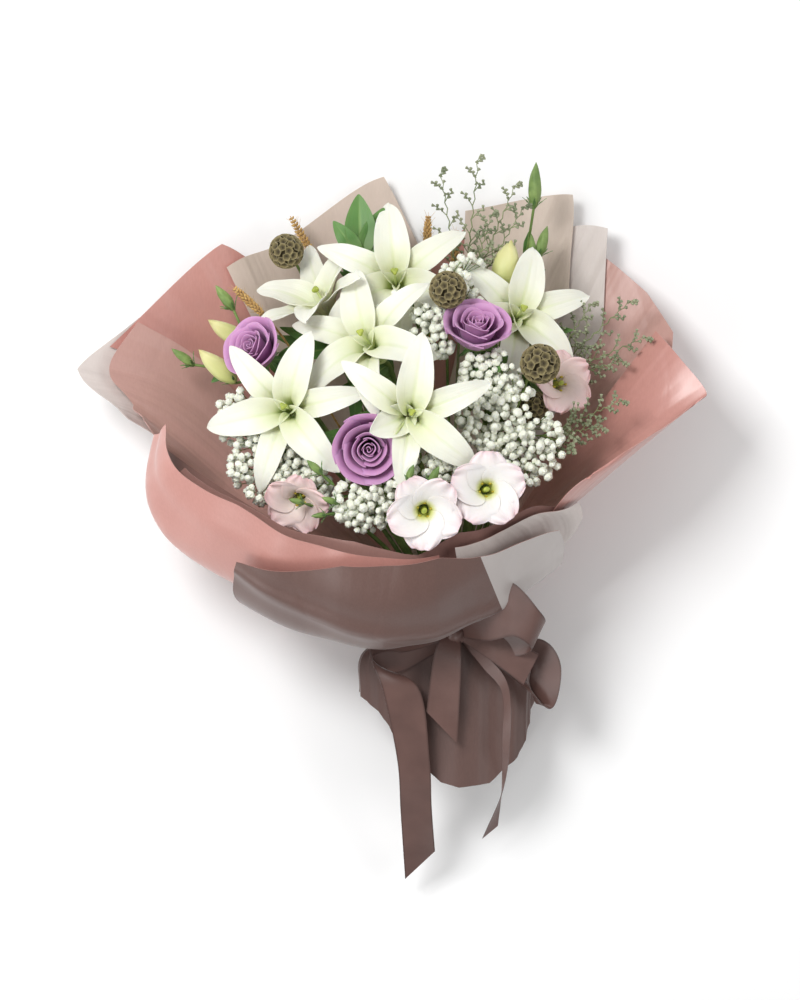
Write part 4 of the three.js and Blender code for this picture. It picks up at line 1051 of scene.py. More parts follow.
@dataclass(frozen=True)
class Sheet:
    """One sheet of the wrapper; layer 0 is the outermost.

    left and right are its edges' angles at the tie and at its outer edge, top its outer edge by
    the share across, rise how far it lifts inwards at the edge, crease a fold across it, and
    steady the angle beyond which it is set off from the sweep in one direction.
    """

    node: str
    sweep: Sweep
    layer: float
    left: tuple[float, float]
    right: tuple[float, float]
    top: tuple[tuple[float, float], ...]
    slot: str
    inside: Finish  # the side towards the flowers
    outside: Finish
    rows: tuple[float, ...] = BACK_ROWS
    start: float = 0.0
    rise: float = 0.0
    crease: tuple[float, float, float] | None = None
    steady: float = 999.0

    def surface(self, u: Array, v: Array) -> Array:
        """The sheet's middle, as Clay.bend takes it.

        Args:
            u, v: the shares, as for Clay.bend.

        Returns:
            n x 3 points in mm.
        """
        across = (u + 1) / 2
        rows = np.array(self.rows)
        place = v * (len(rows) - 1 + ROWS_ABOVE)
        lower = np.interp(place, np.arange(len(rows)), rows)
        above = np.clip((place - len(rows) + 1) / ROWS_ABOVE, 0, 1)
        edge = np.interp(across, *np.array(self.top).T)
        share = np.maximum(self.start, np.where(above > 0, mix(rows[-1], edge, above), lower))
        spread = smooth(np.minimum(1, share * 1.6))
        angle = mix(mix(*self.left, spread), mix(*self.right, spread), across)
        out = (SHEET_LAYERS / 2 - self.layer) * SHEET_PITCH * (1 + LAYER_SPREAD * share)
        out = out - self.rise * share * share + self.sweep.waves(angle, share)
        if self.crease:
            line = mix(self.crease[0], self.crease[1], across)
            out = out + self.crease[2] * np.exp(-(((share - line) / 0.035) ** 2))
        points = self.sweep.point(angle, share)
        facing = self.sweep.normal(np.minimum(angle, self.steady), share)
        points = points + facing * out[:, None]
        points[:, 2] = np.maximum(points[:, 2], self.layer * SHEET_PITCH + SHEET_THICK / 2)
        return points

    def build(self) -> Piece:
        """Makes the sheet.

        Returns:
            The sheet.
        """
        clay = Clay()
        clay.thicken(clay.bend(self.surface, 60, 72), PAPER_THICK, 1)
        sides = (self.inside, self.outside)
        made = piece(f"{self.node}_sheet", clay, sides, self.slot, self.node)
        flat, area = laid_out(self.surface)
        return made


# Sides in the darker mauve stand for the shade inside the bowl: painted shade.
SHEETS = (
    Sheet("paper_pink_back", BACK, 1, (338, 346), (400, 392),
          ((0, 0.8), (0.3, 0.82), (0.45, 0.87), (0.62, 0.94), (1, 0.8)),
          "paper_pink", PINK, MAUVE_SHADE),
    Sheet("paper_pink_right_back", BACK, 2, (400, 402), (440, 442),
          ((0, 0.93), (0.4, 0.98), (0.7, 0.98), (1, 0.86)), "paper_pink", ROSE, PINK),
    Sheet("paper_pale_left", BACK, 1, (268, 266), (296, 306), ((0, 0.86), (0.5, 1), (1, 0.98)),
          "paper_pale", PALE, PALE),
    Sheet("paper_left_pink", BACK, 2, (296, 297), (342, 341), ((0, 0.97), (0.6, 1), (1, 0.72)),
          "paper_pink", PINK, MAUVE_SHADE),
    Sheet("paper_pale_right", BACK, 3, (376, 380), (412, 414), ((0, 0.85), (0.65, 1), (1, 0.8)),
          "paper_pale", PALE, PALE),
    Sheet("paper_taupe_left", BACK, 3, (318, 322), (358, 364), ((0, 0.93), (0.75, 1), (1, 0.78)),
          "paper_taupe", TAUPE, TAUPE, rise=3),
    Sheet("paper_left_flap", BACK, 3, (253, 248), (300, 305), ((0, 0.98), (0.4, 0.84), (1, 0.98)),
          "paper_pink", ROSE, PINK, rise=8),
    Sheet("paper_taupe_right", BACK, 4, (362, 371), (396, 400), ((0, 0.96), (0.6, 1), (1, 0.8)),
          "paper_taupe", TAUPE, TAUPE, rise=3),
    Sheet("paper_right_flap", BACK, 8.2, (428, 430), (474, 483), ((0, 0.96), (0.46, 1), (1, 0.98)),
          "paper_pink", PINK, PINK, rise=6, steady=458),
    Sheet("paper_right_front", FRONT, 5.6, (108, 112), (158, 168),
          ((0, 0.84), (0.5, 0.93), (1, 0.97)), "paper_pale", MAUVE_SHADE, PALE, rows=FRONT_ROWS),
    Sheet("paper_left_collar", FRONT, 5.6, (186, 176), (280, 287), ((0, 0.95), (0.6, 1), (1, 0.94)),
          "paper_pink", MAUVE_SHADE, PINK, rows=FRONT_ROWS, rise=1),
    Sheet("paper_inner_collar", FRONT, 6.9, (114, 118), (262, 266),
          ((0, 0.84), (0.3, 1), (0.45, 0.95), (0.6, 1), (1, 0.96)), "paper_pale", MAUVE_SHADE, MAUVE_SHADE,
          rows=FRONT_ROWS, rise=9),
)


@dataclass(frozen=True)
class Skirt:
    """The front collar and the skirt below the tie, which are one sheet."""

    radius: float = 30.1
    top_y: float = -79.0
    throat_y: float = -96.0
    spread_y: float = -118.0
    width: float = 78.0
    height: float = 36.0
    depth: float = 47.0
    cut: tuple[tuple[float, float], ...] = (
        (-78, -152), (-60, -176), (-30, -214), (-8, -235), (8, -240), (36, -236), (56, -214),
        (70, -182), (78, -152),
    )  # its cut edge: how far to the side of the tie, its y
    shorter: float = 6.0  # how much shorter it is at the back
    flare: float = 4.0  # how much wider it is at its cut edge
    pleats: int = 9
    pleat_depth: float = 0.035
    gathers: int = 29
    gather_depth: float = 0.02
    reach: float = 174.0  # how far it goes round the tie to each side, in degrees
    turned_x: float = 76.0  # beyond this line the corner is turned over and shows its pale side
    turned_y: float = -30.0
    turned_slant: float = 0.42
    node: str = "paper_front_collar_and_skirt"

    @property
    def collar(self) -> Sheet:
        """The part above the tie.

        Returns:
            The collar as a sheet.
        """
        return Sheet(
            self.node, FRONT, 0, (124, 128), (238, 236),
            ((0, 0.76), (0.28, 0.92), (0.45, 0.98), (0.75, 0.95), (1, 0.78)), "paper_brown_rose",
            MAUVE_SHADE, COLLAR, rows=FRONT_ROWS, start=0.03, crease=(0.5, 0.74, 3.6),
        )

    def surface(self, u: Array, v: Array) -> Array:
        """The skirt, from the tie down to its cut edge.

        Args:
            u, v: the shares, as for Clay.bend.

        Returns:
            n x 3 points in mm.
        """
        angle = np.radians(180 + self.reach * u)
        back = np.cos(angle)
        end_y = np.interp(self.width * np.sin(angle), *np.array(self.cut).T)
        end_y = end_y + self.shorter * np.maximum(0, back)
        opened = np.where(back < 0, self.height, self.depth)
        top = round_neck(angle, self.top_y, self.radius, self.radius)
        throat = round_neck(angle, self.throat_y, self.radius, self.radius)
        spread = round_neck(angle, self.spread_y, self.width, opened)
        end = round_neck(angle, end_y, self.width + self.flare, opened - 1)
        below = np.maximum(v * 3 - 1, 0)
        k = np.clip(np.floor(below), 0, 1)
        t = (below - k)[:, None]
        first = spline(top, throat, spread, end, t)
        second = spline(throat, spread, end, 2 * end - spread, t)
        lower = np.where((k == 0)[:, None], first, second)
        upper = mix(top, throat, np.minimum(v * 3, 1)[:, None])
        points = np.where((v * 3 < 1)[:, None], upper, lower)
        pleat = self.pleat_depth * np.sin(angle * self.pleats) * smooth(v * 2 - 0.7)
        crest = np.sin(angle * self.gathers + 2 * np.sin(3 * angle)) ** 3
        gather = self.gather_depth * crest * smooth(v * 5 - 1.4) * (1 - 0.5 * v)
        points[:, 0] += (points[:, 0] - NECK[0]) * (pleat + gather)
        points[:, 2] += (points[:, 2] - NECK[2]) * (pleat + gather)
        points[:, 2] = np.maximum(points[:, 2], SHEET_PITCH + SHEET_THICK / 2)
        return points

    def build(self) -> Piece:
        """Makes the collar and skirt.

        Returns:
            The piece.
        """
        clay = Clay()
        clay.thicken(clay.bend(self.collar.surface, 72, 72), PAPER_THICK, 1)
        clay.thicken(clay.bend(self.surface, 180, 54, 2), PAPER_THICK)
        corner_x = self.turned_x + self.turned_slant * self.turned_y
        start = (corner_x + SHIFT[0] + self.turned_slant * SHIFT[1]) * MM
        corner = replace(COLLAR, name="paper_turned_corner", corner=(start, self.turned_slant))
        # The collar's inner side is the darker mauve: painted shade inside the bowl.
        finishes = (MAUVE_SHADE, corner, BROWN)
        made = piece("paper_front_sheet", clay, finishes, "paper_brown_rose", self.node)
        (wide, high), collar = laid_out(self.collar.surface)
        (round_, low), skirt = laid_out(self.surface)
        return made


# --- ribbon


@dataclass(frozen=True)
class Strip:
    """A stretch of ribbon between its two edges."""

    left: tuple[Point, ...]
    right: tuple[Point, ...]

    def surface(self, u: Array, v: Array) -> Array:
        """The stretch, as Clay.bend takes it."""
        place = v * (len(self.left) - 1)
        left, right = (through(np.array(edge, float), place) for edge in (self.left, self.right))
        return mix(left, right, ((u + 1) / 2)[:, None])


@dataclass(frozen=True)
class Ribbon:
    """The satin ribbon: a band round the tie, a knot, loops and tails."""

    knot: Point = (56, -101, 91)
    knot_radius: float = 9.5
    band_radius: float = 32.0
    band: tuple[float, float] = (-80, -94)
    thick: float = 0.5
    strips: tuple[Strip, ...] = (
        Strip(
            ((50, -94, 96), (12, -97, 119), (-14, -106, 123), (-22, -118, 116), (-10, -152, 104),
             (3, -215, 96), (6, -262, 70), (10, -325, 28)),
            ((52, -106, 88), (16, -116, 92), (-6, -120, 86), (-17, -130, 86), (22, -150, 100),
             (32, -215, 96), (34, -258, 78), (37, -299, 40)),
        ),
        Strip(
            ((-20, -108, 104), (4, -104, 94), (50, -94, 90)),
            ((-18, -134, 90), (6, -136, 86), (52, -110, 84)),
        ),
        Strip(
            ((46, -98, 92), (36, -120, 101), (29, -171, 99)),
            ((60, -100, 92), (60, -135, 101), (57, -200, 96)),
        ),
        Strip(
            ((56, -92, 92), (76, -76, 136), (102, -54, 152), (128, -78, 148), (134, -92, 128),
             (106, -98, 114), (60, -96, 96)),
            ((58, -104, 88), (84, -107, 122), (106, -103, 133), (120, -110, 130), (122, -117, 118),
             (104, -120, 104), (60, -106, 88)),
        ),
        Strip(
            ((60, -98, 92), (104, -104, 102), (136, -108, 100), (150, -132, 96), (142, -168, 88),
             (118, -150, 94), (62, -104, 92)),
            ((60, -106, 86), (106, -118, 88), (122, -130, 84), (122, -146, 82), (128, -164, 78),
             (112, -136, 84), (62, -106, 86)),
        ),
        Strip(
            ((60, -96, 94), (96, -104, 108), (130, -119, 106)),
            ((58, -106, 92), (88, -126, 106), (116, -147, 102)),
        ),
        Strip(
            ((58, -102, 88), (86, -124, 104), (103, -150, 106), (104, -200, 98), (98, -242, 76),
             (80, -288, 34)),
            ((60, -108, 88), (80, -132, 100), (97, -155, 100), (97, -200, 96), (97, -240, 74),
             (94, -276, 40)),
        ),
    )

    def round_band(self, u: Array, v: Array) -> Array:
        """The band round the tie, with folds along it.

        Args:
            u, v: the shares, as for Clay.bend.

        Returns:
            n x 3 points in mm.
        """
        around = np.pi * u
        folds = 0.35 * np.sin(9 * v + 2 * np.sin(3 * around))
        radius = self.band_radius + folds
        return round_neck(around, mix(*self.band, v), radius, radius)

    def knotted(self, u: Array, v: Array) -> Array:
        """The knot: a puffed wrap with folds across it.

        Args:
            u, v: the shares, as for Clay.bend.

        Returns:
            n x 3 points in mm.
        """
        around, up = np.pi * u, np.pi * (v - 0.5)
        folds = 1 + 0.06 * np.sin(7 * around + 2 * np.sin(2 * up)) * np.cos(up)
        radius = self.knot_radius * folds
        x = 1.1 * radius * np.cos(up) * np.cos(around)
        y = radius * np.sin(up)
        z = 0.84 * radius * np.cos(up) * np.sin(around)
        return np.array(self.knot) + np.stack([x, y, z], -1)

    def build(self) -> Piece:
        """Makes the ribbon.

        Returns:
            The piece.
        """
        clay = Clay()
        faces = [face for strip in self.strips for face in clay.bend(strip.surface, 8, 72)]
        faces += clay.bend(self.round_band, 96, 8, weld=True)
        clay.thicken(faces, self.thick)
        clay.bend(self.knotted, 48, 24, weld=True)
        made = piece("ribbon_bow", clay, (RIBBON,), "satin_ribbon", "ribbon_with_bow")
        stretches = [strip.surface for strip in self.strips] + [self.round_band]
        area = sum(laid_out(stretch)[1] for stretch in stretches)
        return made


# --- blooms


def petal(
    axes: Axes, turn: float, length: float, start: tuple[float, float], slope: Profile,
    width: Profile, lift: Callable[[Array, Array], Array],
) -> Surface:
    """A petal of a flower.

    Args:
        axes: the flower's axes.
        turn: where it stands round them, in degrees.
        length: along it.
        start: its root's distance from the axis and height.
        slope: the angle from the axis by the share along it, in degrees.
        width: its width by the share along it.
        lift: its height over its middle line.

    Returns:
        Its surface.
    """
    steps = 80
    angles = np.radians(slope((np.arange(steps) + 0.5) / steps))
    radius = start[0] + np.concatenate([[0], np.cumsum(np.sin(angles))]) * length / steps
    height = start[1] + np.concatenate([[0], np.cumsum(np.cos(angles))]) * length / steps

    def surface(u: Array, v: Array) -> Array:
        """The petal by the shares across and along it."""
        knots = np.linspace(0, 1, steps + 1)
        angle, up = np.radians(slope(v)), lift(u, v)
        out = np.maximum(1.0, np.interp(v, knots, radius) - np.cos(angle) * up)
        around = math.radians(turn) + u * width(v) / 2 / out
        rise = np.interp(v, knots, height) + np.sin(angle) * up
        return axes.point(out * np.cos(around), out * np.sin(around), rise)

    return surface


def turned(
    axes: Axes, profile: Sequence[tuple[float, float]], ribs: int = 0, depth: float = 0.0,
    twist: float = 0.0,
) -> Surface:
    """A body of revolution with ribs that may twist round it.

    Args:
        axes: its axes, with z along it.
        profile: pairs of radius and height.
        ribs: how many ribs stand round it.
        depth: their depth as a share of the radius.
        twist: their turns from end to end.

    Returns:
        Its surface.
    """
    knots = np.array([(r, 0.0, h) for r, h in profile], float)

    def surface(u: Array, v: Array) -> Array:
        """The body by the shares round and along it."""
        line = through(knots, v * (len(knots) - 1))
        around = np.pi * u
        rib = 1 + depth * np.cos(ribs * (around + 2 * np.pi * twist * v)) if ribs else 1.0
        radius = np.maximum(0, line[:, 0]) * rib
        return axes.point(radius * np.cos(around), radius * np.sin(around), line[:, 2])

    return surface


@dataclass(frozen=True)
class Bloom:
    """What all blooms have: the solid, the place, where it faces and its turn in degrees."""

    node: str
    at: Point
    face: Point
    spin: float

    @cached_property
    def axes(self) -> Axes:
        """The bloom's place and directions."""
        return Axes.facing(self.at, self.face, self.spin)

    def threads(self, count: int, out: Sequence[float], up: Sequence[float]) -> list[Array]:
        """The corners of threads that stand round the middle, each between two petals.

        Args:
            count: how many there are.
            out, up: each corner's distance from the axis and height.

        Returns:
            The corners of each.
        """
        reach, height = np.array(out, float), np.array(up, float)
        turns = [2 * math.pi * (k + 0.5) / count for k in range(count)]
        return [
            self.axes.point(reach * math.cos(turn), reach * math.sin(turn), height)
            for turn in turns
        ]


@dataclass(frozen=True)
class Lily(Bloom):
    """A white lily with six pointed tepals and a pale green throat.

    open and curl are the angles at which a tepal leaves the tube and turns back, tube the tube's
    own, and short each tepal's share of the full length.
    """

    open: float = 84.0
    curl: float = 34.0
    length: float = 98.0
    outer_width: float = 29.25
    inner_width: float = 37.44
    tube: float = 12.0
    base_length: float = LILY_BASE
    short: tuple[float, ...] = (1, 1, 1, 1, 1, 1)

    def tepal(self, k: int) -> Surface:
        """One of the six tepals; the odd ones are the wide inner ones.

        Args:
            k: which one.

        Returns:
            Its surface.
        """
        inner = k % 2 == 1
        wide = self.inner_width if inner else self.outer_width

        def slope(v: Array) -> Array:
            """It leaves the tube steeply and curls back at the tip."""
            opened = (self.open * self.short[k] ** 0.8 - self.tube) * smooth((v - 0.12) / 0.5)
            curl = self.curl * (3 * self.short[k] - 2)
            return self.tube + opened + curl * smooth((v - 0.55) / 0.45)

        def width(v: Array) -> Array:
            """Narrow at the root, widest at two thirds, pointed at the tip."""
            body = mix(0.08, 1, smooth((v - 0.06) / 0.5)) * (1 - v**3.4) ** 0.8
            return wide * (body + 0.03)

        def lift(u: Array, v: Array) -> Array:
            """A channel along the middle, raised sides and a waved edge."""
            step = (3.0 if inner else 0.0) * smooth((v - 0.08) * 3) * (1 - 0.5 * v)
            cup = wide * (0.25 if inner else 0.16) * u * u * smooth(v * 3) * (1 - v)
            wave = 1.1 * np.sin(9 * v + 2 * k + u) * np.abs(u) * v
            groove = -1.7 * np.exp(-((u / 0.15) ** 2)) * smooth(v * 4) * (1 - v)
            groove = groove - 0.7 * np.exp(-(((np.abs(u) - 0.48) / 0.12) ** 2)) * v * (1 - v)
            frill = 0.8 * np.sin(22 * v + 3 * k + 2 * u) * np.abs(u) ** 3 * smooth(v * 3 - 0.6)
            return step + cup + wave + groove + frill

        length = self.length * self.short[k] * (0.97 if inner else 1.0)
        start = (4.4 if inner else 6.0, 1.0)
        return petal(self.axes, k * 60, length, start, slope, width, lift)

    def build(self) -> Piece:
        """Makes the lily.

        Returns:
            The bloom.
        """
        clay, axes = Clay(), self.axes
        faces = [face for k in range(6) for face in clay.bend(self.tepal(k), 14, 34)]
        clay.thicken(faces, PETAL_THICK)
        base = ((0, -self.base_length), (3, -self.base_length), (7.4, 0), (7.2, 2.4), (0, 2.4))
        clay.bend(turned(axes, base), 24, 10, 1, weld=True)
        style = axes.point(*np.array([(0, 0, 2), (1, 2, 24), (2, 3, 44)], float).T)
        clay.stalks([(through(style, np.linspace(0, 2, 12)), [1.2] * 12)], 1, 8)
        lobes = [(0, 0), (2.2, 1.2), (3.1, 3.2), (2.6, 5), (0, 5.6)]
        tip = Axes.facing(style[-1], self.face, self.spin)
        clay.bend(turned(tip, lobes, 3, 0.22), 24, 10, 2, weld=True)
        place, radii = np.linspace(0, 3, 12), np.linspace(0.75, 0.4, 12)
        corners = self.threads(6, (2, 5, 11, 21), (2, 14, 28, 37))
        clay.stalks([(through(knots, place), radii) for knots in corners], 1)
        finishes = (LILY_WHITE, FILAMENT, STIGMA)
        return piece(f"{self.node}_bloom", clay, finishes, "lily_petal", self.node)


LILIES = (
    Lily("lily_front_left", (-88, 98, 116), (-0.25, 0.02, 1), 12),
    Lily("lily_front_centre", (14, 96, 152), (0.02, -0.06, 1), 22, short=(1, 1, 1, 0.62, 0.84, 1)),
    Lily("lily_centre_behind", (-12, 147, 113), (-0.4, 0.4, 0.9), 47),
    Lily("lily_top", (3, 206, 72), (-0.05, 0.3, 0.95), 36),
    Lily("lily_top_left", (-50, 172, 72), (-0.55, 0.8, 0.55), 5, open=56, length=90),
    Lily("lily_right", (106, 178, 67), (0.2, 0.2, 0.95), 16, length=86),
)


@dataclass(frozen=True)
class Ring:
    """A ring of rose petals: root and rim radius, the span of each and how it flares."""

    count: int
    root: float
    radius: float
    span: float
    flare: float
    height: float
    turn: float
    curl: float = 0.0


@dataclass(frozen=True)
class Rose(Bloom):
    """A mauve rose, petals round petals from a tight heart outwards."""

    size: float = 1.0
    outer: int = 6
    rings: tuple[Ring, ...] = (
        Ring(2, 1.8, 2.4, 230, 0, 29.6, 0),
        Ring(3, 3.2, 5.2, 150, 0.4, 31.0, 40, 0.3),
        Ring(3, 5.0, 8.6, 140, 1.2, 32.4, 95, 0.5),
        Ring(3, 6.6, 12, 128, 2.6, 33, 0, 1.0),
        Ring(4, 8.2, 17.4, 110, 5, 32, 50, 1.7),
        Ring(5, 10, 24, 96, 7.4, 28, 10, 1.6),
    )

    def petal(self, ring: Ring, k: int) -> Surface:
        """One petal of a ring, tucked behind its neighbour on one side.

        Args:
            ring: the ring.
            k: which one of it.

        Returns:
            Its surface.
        """
        middle, axes = ring.turn + 360 * k / ring.count, self.axes

        def surface(u: Array, v: Array) -> Array:
            """The petal by the shares across and along it."""
            angle = np.radians(middle + u * ring.span / 2)
            rise = 0.9 + ring.height * v * (1 - 0.14 * u * u * v)
            rise = rise + 0.5 * ring.curl * np.exp(-((u / 0.22) ** 2)) * v**4
            flare = ring.flare * np.maximum(0, v - 0.45) ** 2 * 3
            radius = mix(ring.root, ring.radius, np.sin(np.minimum(1, v * 1.5) * np.pi / 2))
            roll = smooth((v - 0.84) / 0.16)
            out = radius + flare + 0.9 * u * (0.4 + 0.6 * v) + ring.curl * roll
            rise = rise - 0.8 * ring.curl * roll * roll
            out = out + 0.35 * np.sin(5 * u + 2 * k + ring.turn) * v * v
            return axes.at + self.size * (
                axes.point(out * np.cos(angle), out * np.sin(angle), rise) - axes.at
            )

        return surface

    def build(self) -> Piece:
        """Makes the rose.

        Returns:
            The bloom.
        """
        clay, faces = Clay(), []
        for ring in self.rings[: self.outer]:
            for k in range(ring.count):
                faces += clay.bend(self.petal(ring, k), 14, 14)
        clay.thicken(faces, PETAL_THICK)
        heart = [(0, -5), (5, -5), (11.4, 0), (10.4, 1.8), (5, 2.6), (2.4, 16), (0, 26)]
        scaled = [(r * self.size, h * self.size) for r, h in heart]
        clay.bend(turned(self.axes, scaled, 5, 0.06), 30, 18, 1, weld=True)
        return piece(f"{self.node}_bloom", clay, (ROSE_MAUVE, SEPAL), "rose_petal", self.node)


ROSES = (
    Rose("rose_left", (-115, 147, 112), (-0.55, 0.4, 0.75), 20, 0.9),
    Rose("rose_centre", (-22, 67, 150), (0.0, -0.12, 1), 75),
    Rose("rose_right", (72, 158, 136), (0.1, 0.75, 0.7), 0, 0.95),
    Rose("rose_top", (-24, 237, 54), (0.0, 0.8, 0.6), 50, 0.95, outer=5),
)


@dataclass(frozen=True)
class Lisianthus(Bloom):
    """An open lisianthus with five waved petals and a green eye."""

    tone: Petal
    size: float = 1.0
    root: float = 11.0  # the petals' angle where they start, and open where they end
    open: float = 74.0
    length: float = 43.0
    width: float = 45.0

    def petal(self, k: int) -> Surface:
        """One of the five petals.

        Args:
            k: which one.

        Returns:
            Its surface.
        """

        def slope(v: Array) -> Array:
            """A cup that opens out and turns back a little at the rim."""
            opened = (self.open - self.root) * smooth((v - 0.06) / 0.72)
            return self.root + opened + 14 * smooth((v - 0.7) / 0.3)

        def width(v: Array) -> Array:
            """Narrow at the root and broad at the rim."""
            body = mix(0.07, 1.06, smooth((v - 0.03) / 0.62))
            return self.width * self.size * body * (1 - 0.62 * v**7)

        def lift(u: Array, v: Array) -> Array:
            """Each petal overlaps the next, with a waved rim."""
            tuck = u * 0.9 * np.minimum(1, 0.4 + 2 * v) + 0.8 * u * u * v
            wave = 2.4 * np.sin(3.1 * u + 2.3 * k) * v**3
            frill = 1.3 * np.sin(9 * u + 3 * k) * smooth(v * 3 - 2)
            return tuck + wave + frill

        return petal(self.axes, 72 * k, self.length * self.size, (4.4, 1), slope, width, lift)

    def build(self) -> Piece:
        """Makes the bloom.

        Returns:
            The bloom.
        """
        clay, axes = Clay(), self.axes
        faces = [face for k in range(5) for face in clay.bend(self.petal(k), 26, 26)]
        clay.thicken(faces, PETAL_THICK)
        base = ((0, -4), (2.4, -4), (6.6, 0), (6.4, 2), (2, 3), (0, 5))
        clay.bend(turned(axes, base), 24, 12, 1, weld=True)
        pistil = ((0, 2), (2.6, 3), (3.0, 7), (1.4, 11), (1.2, 14), (2.6, 17), (0, 19))
        clay.bend(turned(axes, pistil, 2, 0.12), 24, 18, 2, weld=True)
        place = np.linspace(0, 2, 8)
        corners = self.threads(5, (3, 5, 6.4), (2, 8, 13))
        clay.stalks([(through(knots, place), [0.4] * 8) for knots in corners], 1)
        for knots in corners:
            tip = Axes.facing(knots[-1], axes.z + 0.3 * (knots[-1] - knots[0]) / 10)
            grain = turned(tip, ((0, -1.6), (1.1, -0.8), (1.2, 0.8), (0, 1.8)), 2, 0.25)
            clay.bend(grain, 10, 6, 3, weld=True)
        finishes = (self.tone, SEPAL, STIGMA, STAMEN)
        return piece(f"{self.node}_bloom", clay, finishes, self.tone.name, self.node)


LISIANTHUS = (
    Lisianthus("lisianthus_front_right", (80, 28, 172), (0.12, 0.02, 1), 18, LISIANTHUS_WHITE),
    Lisianthus("lisianthus_front_left", (26, 12, 182), (0.05, -0.16, 1), 50, LISIANTHUS_WHITE),
    Lisianthus("lisianthus_left", (-82, 26, 138), (-0.2, -0.45, 0.8), 0, LISIANTHUS_PINK, 0.85),
    Lisianthus("lisianthus_right", (142, 122, 92), (0.45, 0.1, 0.85), 30, LISIANTHUS_PINK, 0.85),
)


# --- stems and leaves


@dataclass(frozen=True)
class Stem:
    """A cut stem: through its place in the tied bundle to its tip, where it turns to its bloom."""

    node: str
    radius: float
    at: Point
    facing: Point
    back: float = 0.0  # how far below its bloom's place it ends
    second: tuple[Point, Point] | None = None  # a second bloom's place, and where it faces
    branch_radius: float = 2.6

    @cached_property
    def direction(self) -> Array:
        """Where the tip points."""
        return unit(self.facing)

    @cached_property
    def tip(self) -> Array:
        """Where the stem ends."""
        return np.array(self.at, float) - self.direction * (self.back + FIT_GAP)

    @cached_property
    def knots(self) -> Array:
        """The stem's corners, with its place in the bundle read from the solid's cut end.

        Returns:
            The corners from the cut end to the tip.
        """
        corners = np.array([vert.co[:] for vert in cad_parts[self.node].data.vertices])
        points = np.unique(np.round(layout(corners), 3), axis=0)
        end = points[points[:, 1] < points[:, 1].min() + 0.5]
        x, z = end[:, 0].mean(), end[:, 2].mean()
        tie = np.array([x, FAN_Y, z])
        neck, throat = (self.tip - self.direction * STEM_NECK * share for share in (1, 0.4))
        return np.array([(x, STEM_END_Y, z), tie, mix(tie, neck, 0.93), throat, self.tip])

    @cached_property
    def branch(self) -> Array:
        """The corners of the branch that carries a second bloom.

        Returns:
            The corners from the fork to the tip.
        """
        at, facing = np.array(self.second[0], float), unit(self.second[1])
        tip = at - facing * (LILY_BASE + FIT_GAP)
        fork = mix(self.knots[1], self.knots[2], 0.36)
        return np.array([fork, tip - facing * STEM_NECK, tip])

    @staticmethod
    def rounded(corners: Array) -> Array:
        """A line with its corners cut three times.

        Args:
            corners: the line's corners.

        Returns:
            The rounder line.
        """
        line = corners
        for _ in range(3):
            quarter = mix(line[:-1], line[1:], 0.25)
            three = mix(line[:-1], line[1:], 0.75)
            inner = np.stack([quarter, three], 1).reshape(-1, 3)
            line = np.vstack([line[:1], inner[1:-1], line[-1:]])
        return line

    def lines(self) -> list[Line]:
        """The stalks of the stem.

        Returns:
            The lines with the radius at each point.
        """
        main = self.rounded(self.knots)
        made: list[Line] = [(main, [self.radius] * len(main))]
        if self.second:
            side = self.rounded(self.branch)
            made.append((side, [self.branch_radius] * len(side)))
        return made


def leaf(
    root: Array, along: Sequence[float], up: Sequence[float], length: float, width: float,
    bow: float = 0.16, wave: float = 0.6, phase: float = 0.0,
) -> Surface:
    """A pointed leaf.

    Args:
        root: where it grows.
        along: its direction.
        up: where its upper side faces.
        length, width: its size.
        bow: how far it bends down, as a share of its length.
        wave: the height of its edge's waves.
        phase: where the waves start.

    Returns:
        Its surface.
    """
    direction = unit(along)
    side = unit(np.cross(up, direction))
    normal = np.cross(direction, side)

    def surface(u: Array, v: Array) -> Array:
        """The leaf by the shares across and along it."""
        half = width / 2 * (np.sin(np.pi * np.clip(v, 0, 1) ** 0.8) ** 0.8 + 0.06)
        edge = wave * np.sin(14 * v + phase + u) * np.abs(u) * np.sin(np.pi * v)
        rise = -bow * length * v * v + 0.2 * np.abs(u) * half + edge
        return (
            root + np.multiply.outer(length * v, direction)
            + np.multiply.outer(u * half, side) + np.multiply.outer(rise, normal)
        )

    return surface


# where a leaf has to have room: the shares across and along it
LEAF_SPOTS = np.array([(0, 0.3), (0, 0.6), (0, 0.85), (1, 0.5), (-1, 0.5), (0, 1)]).T


@dataclass(frozen=True)
class Foliage:
    """Leaves grown on a stem: where they may stand along it and how they look."""

    count: int
    shares: tuple[float, float]
    length: float
    width: float
    seed: int
    clear: float = 1.6  # how far a leaf stays from the blooms

    def leaves(self, line: Array, room: Room) -> list[Surface]:
        """Leaves that find room among the blooms.

        Args:
            line: the stem's line.
            room: the blooms.

        Returns:
            Their surfaces.
        """
        chance = random.Random(self.seed)
        found: list[Surface] = []
        for _ in range(self.count * LEAF_TRIES):
            if len(found) == self.count:
                break
            place = chance.uniform(*self.shares) * (len(line) - 1)
            root = spot(line, place)
            stem = unit(spot(line, min(len(line) - 1, place + 0.5)) - root)
            around = chance.uniform(0, 2 * math.pi)
            out = np.array([math.cos(around), math.sin(around), chance.uniform(0.0, 0.5)])
            along = unit(out + 0.9 * stem)
            length = self.length * chance.uniform(0.8, 1.15)
            shape = leaf(root, along, (0.2, 0.1, 1), length, self.width, 0.12, 0.8, around)
            if min(room.gap(point) for point in shape(*LEAF_SPOTS)) > self.clear:
                found.append(shape)
        return found


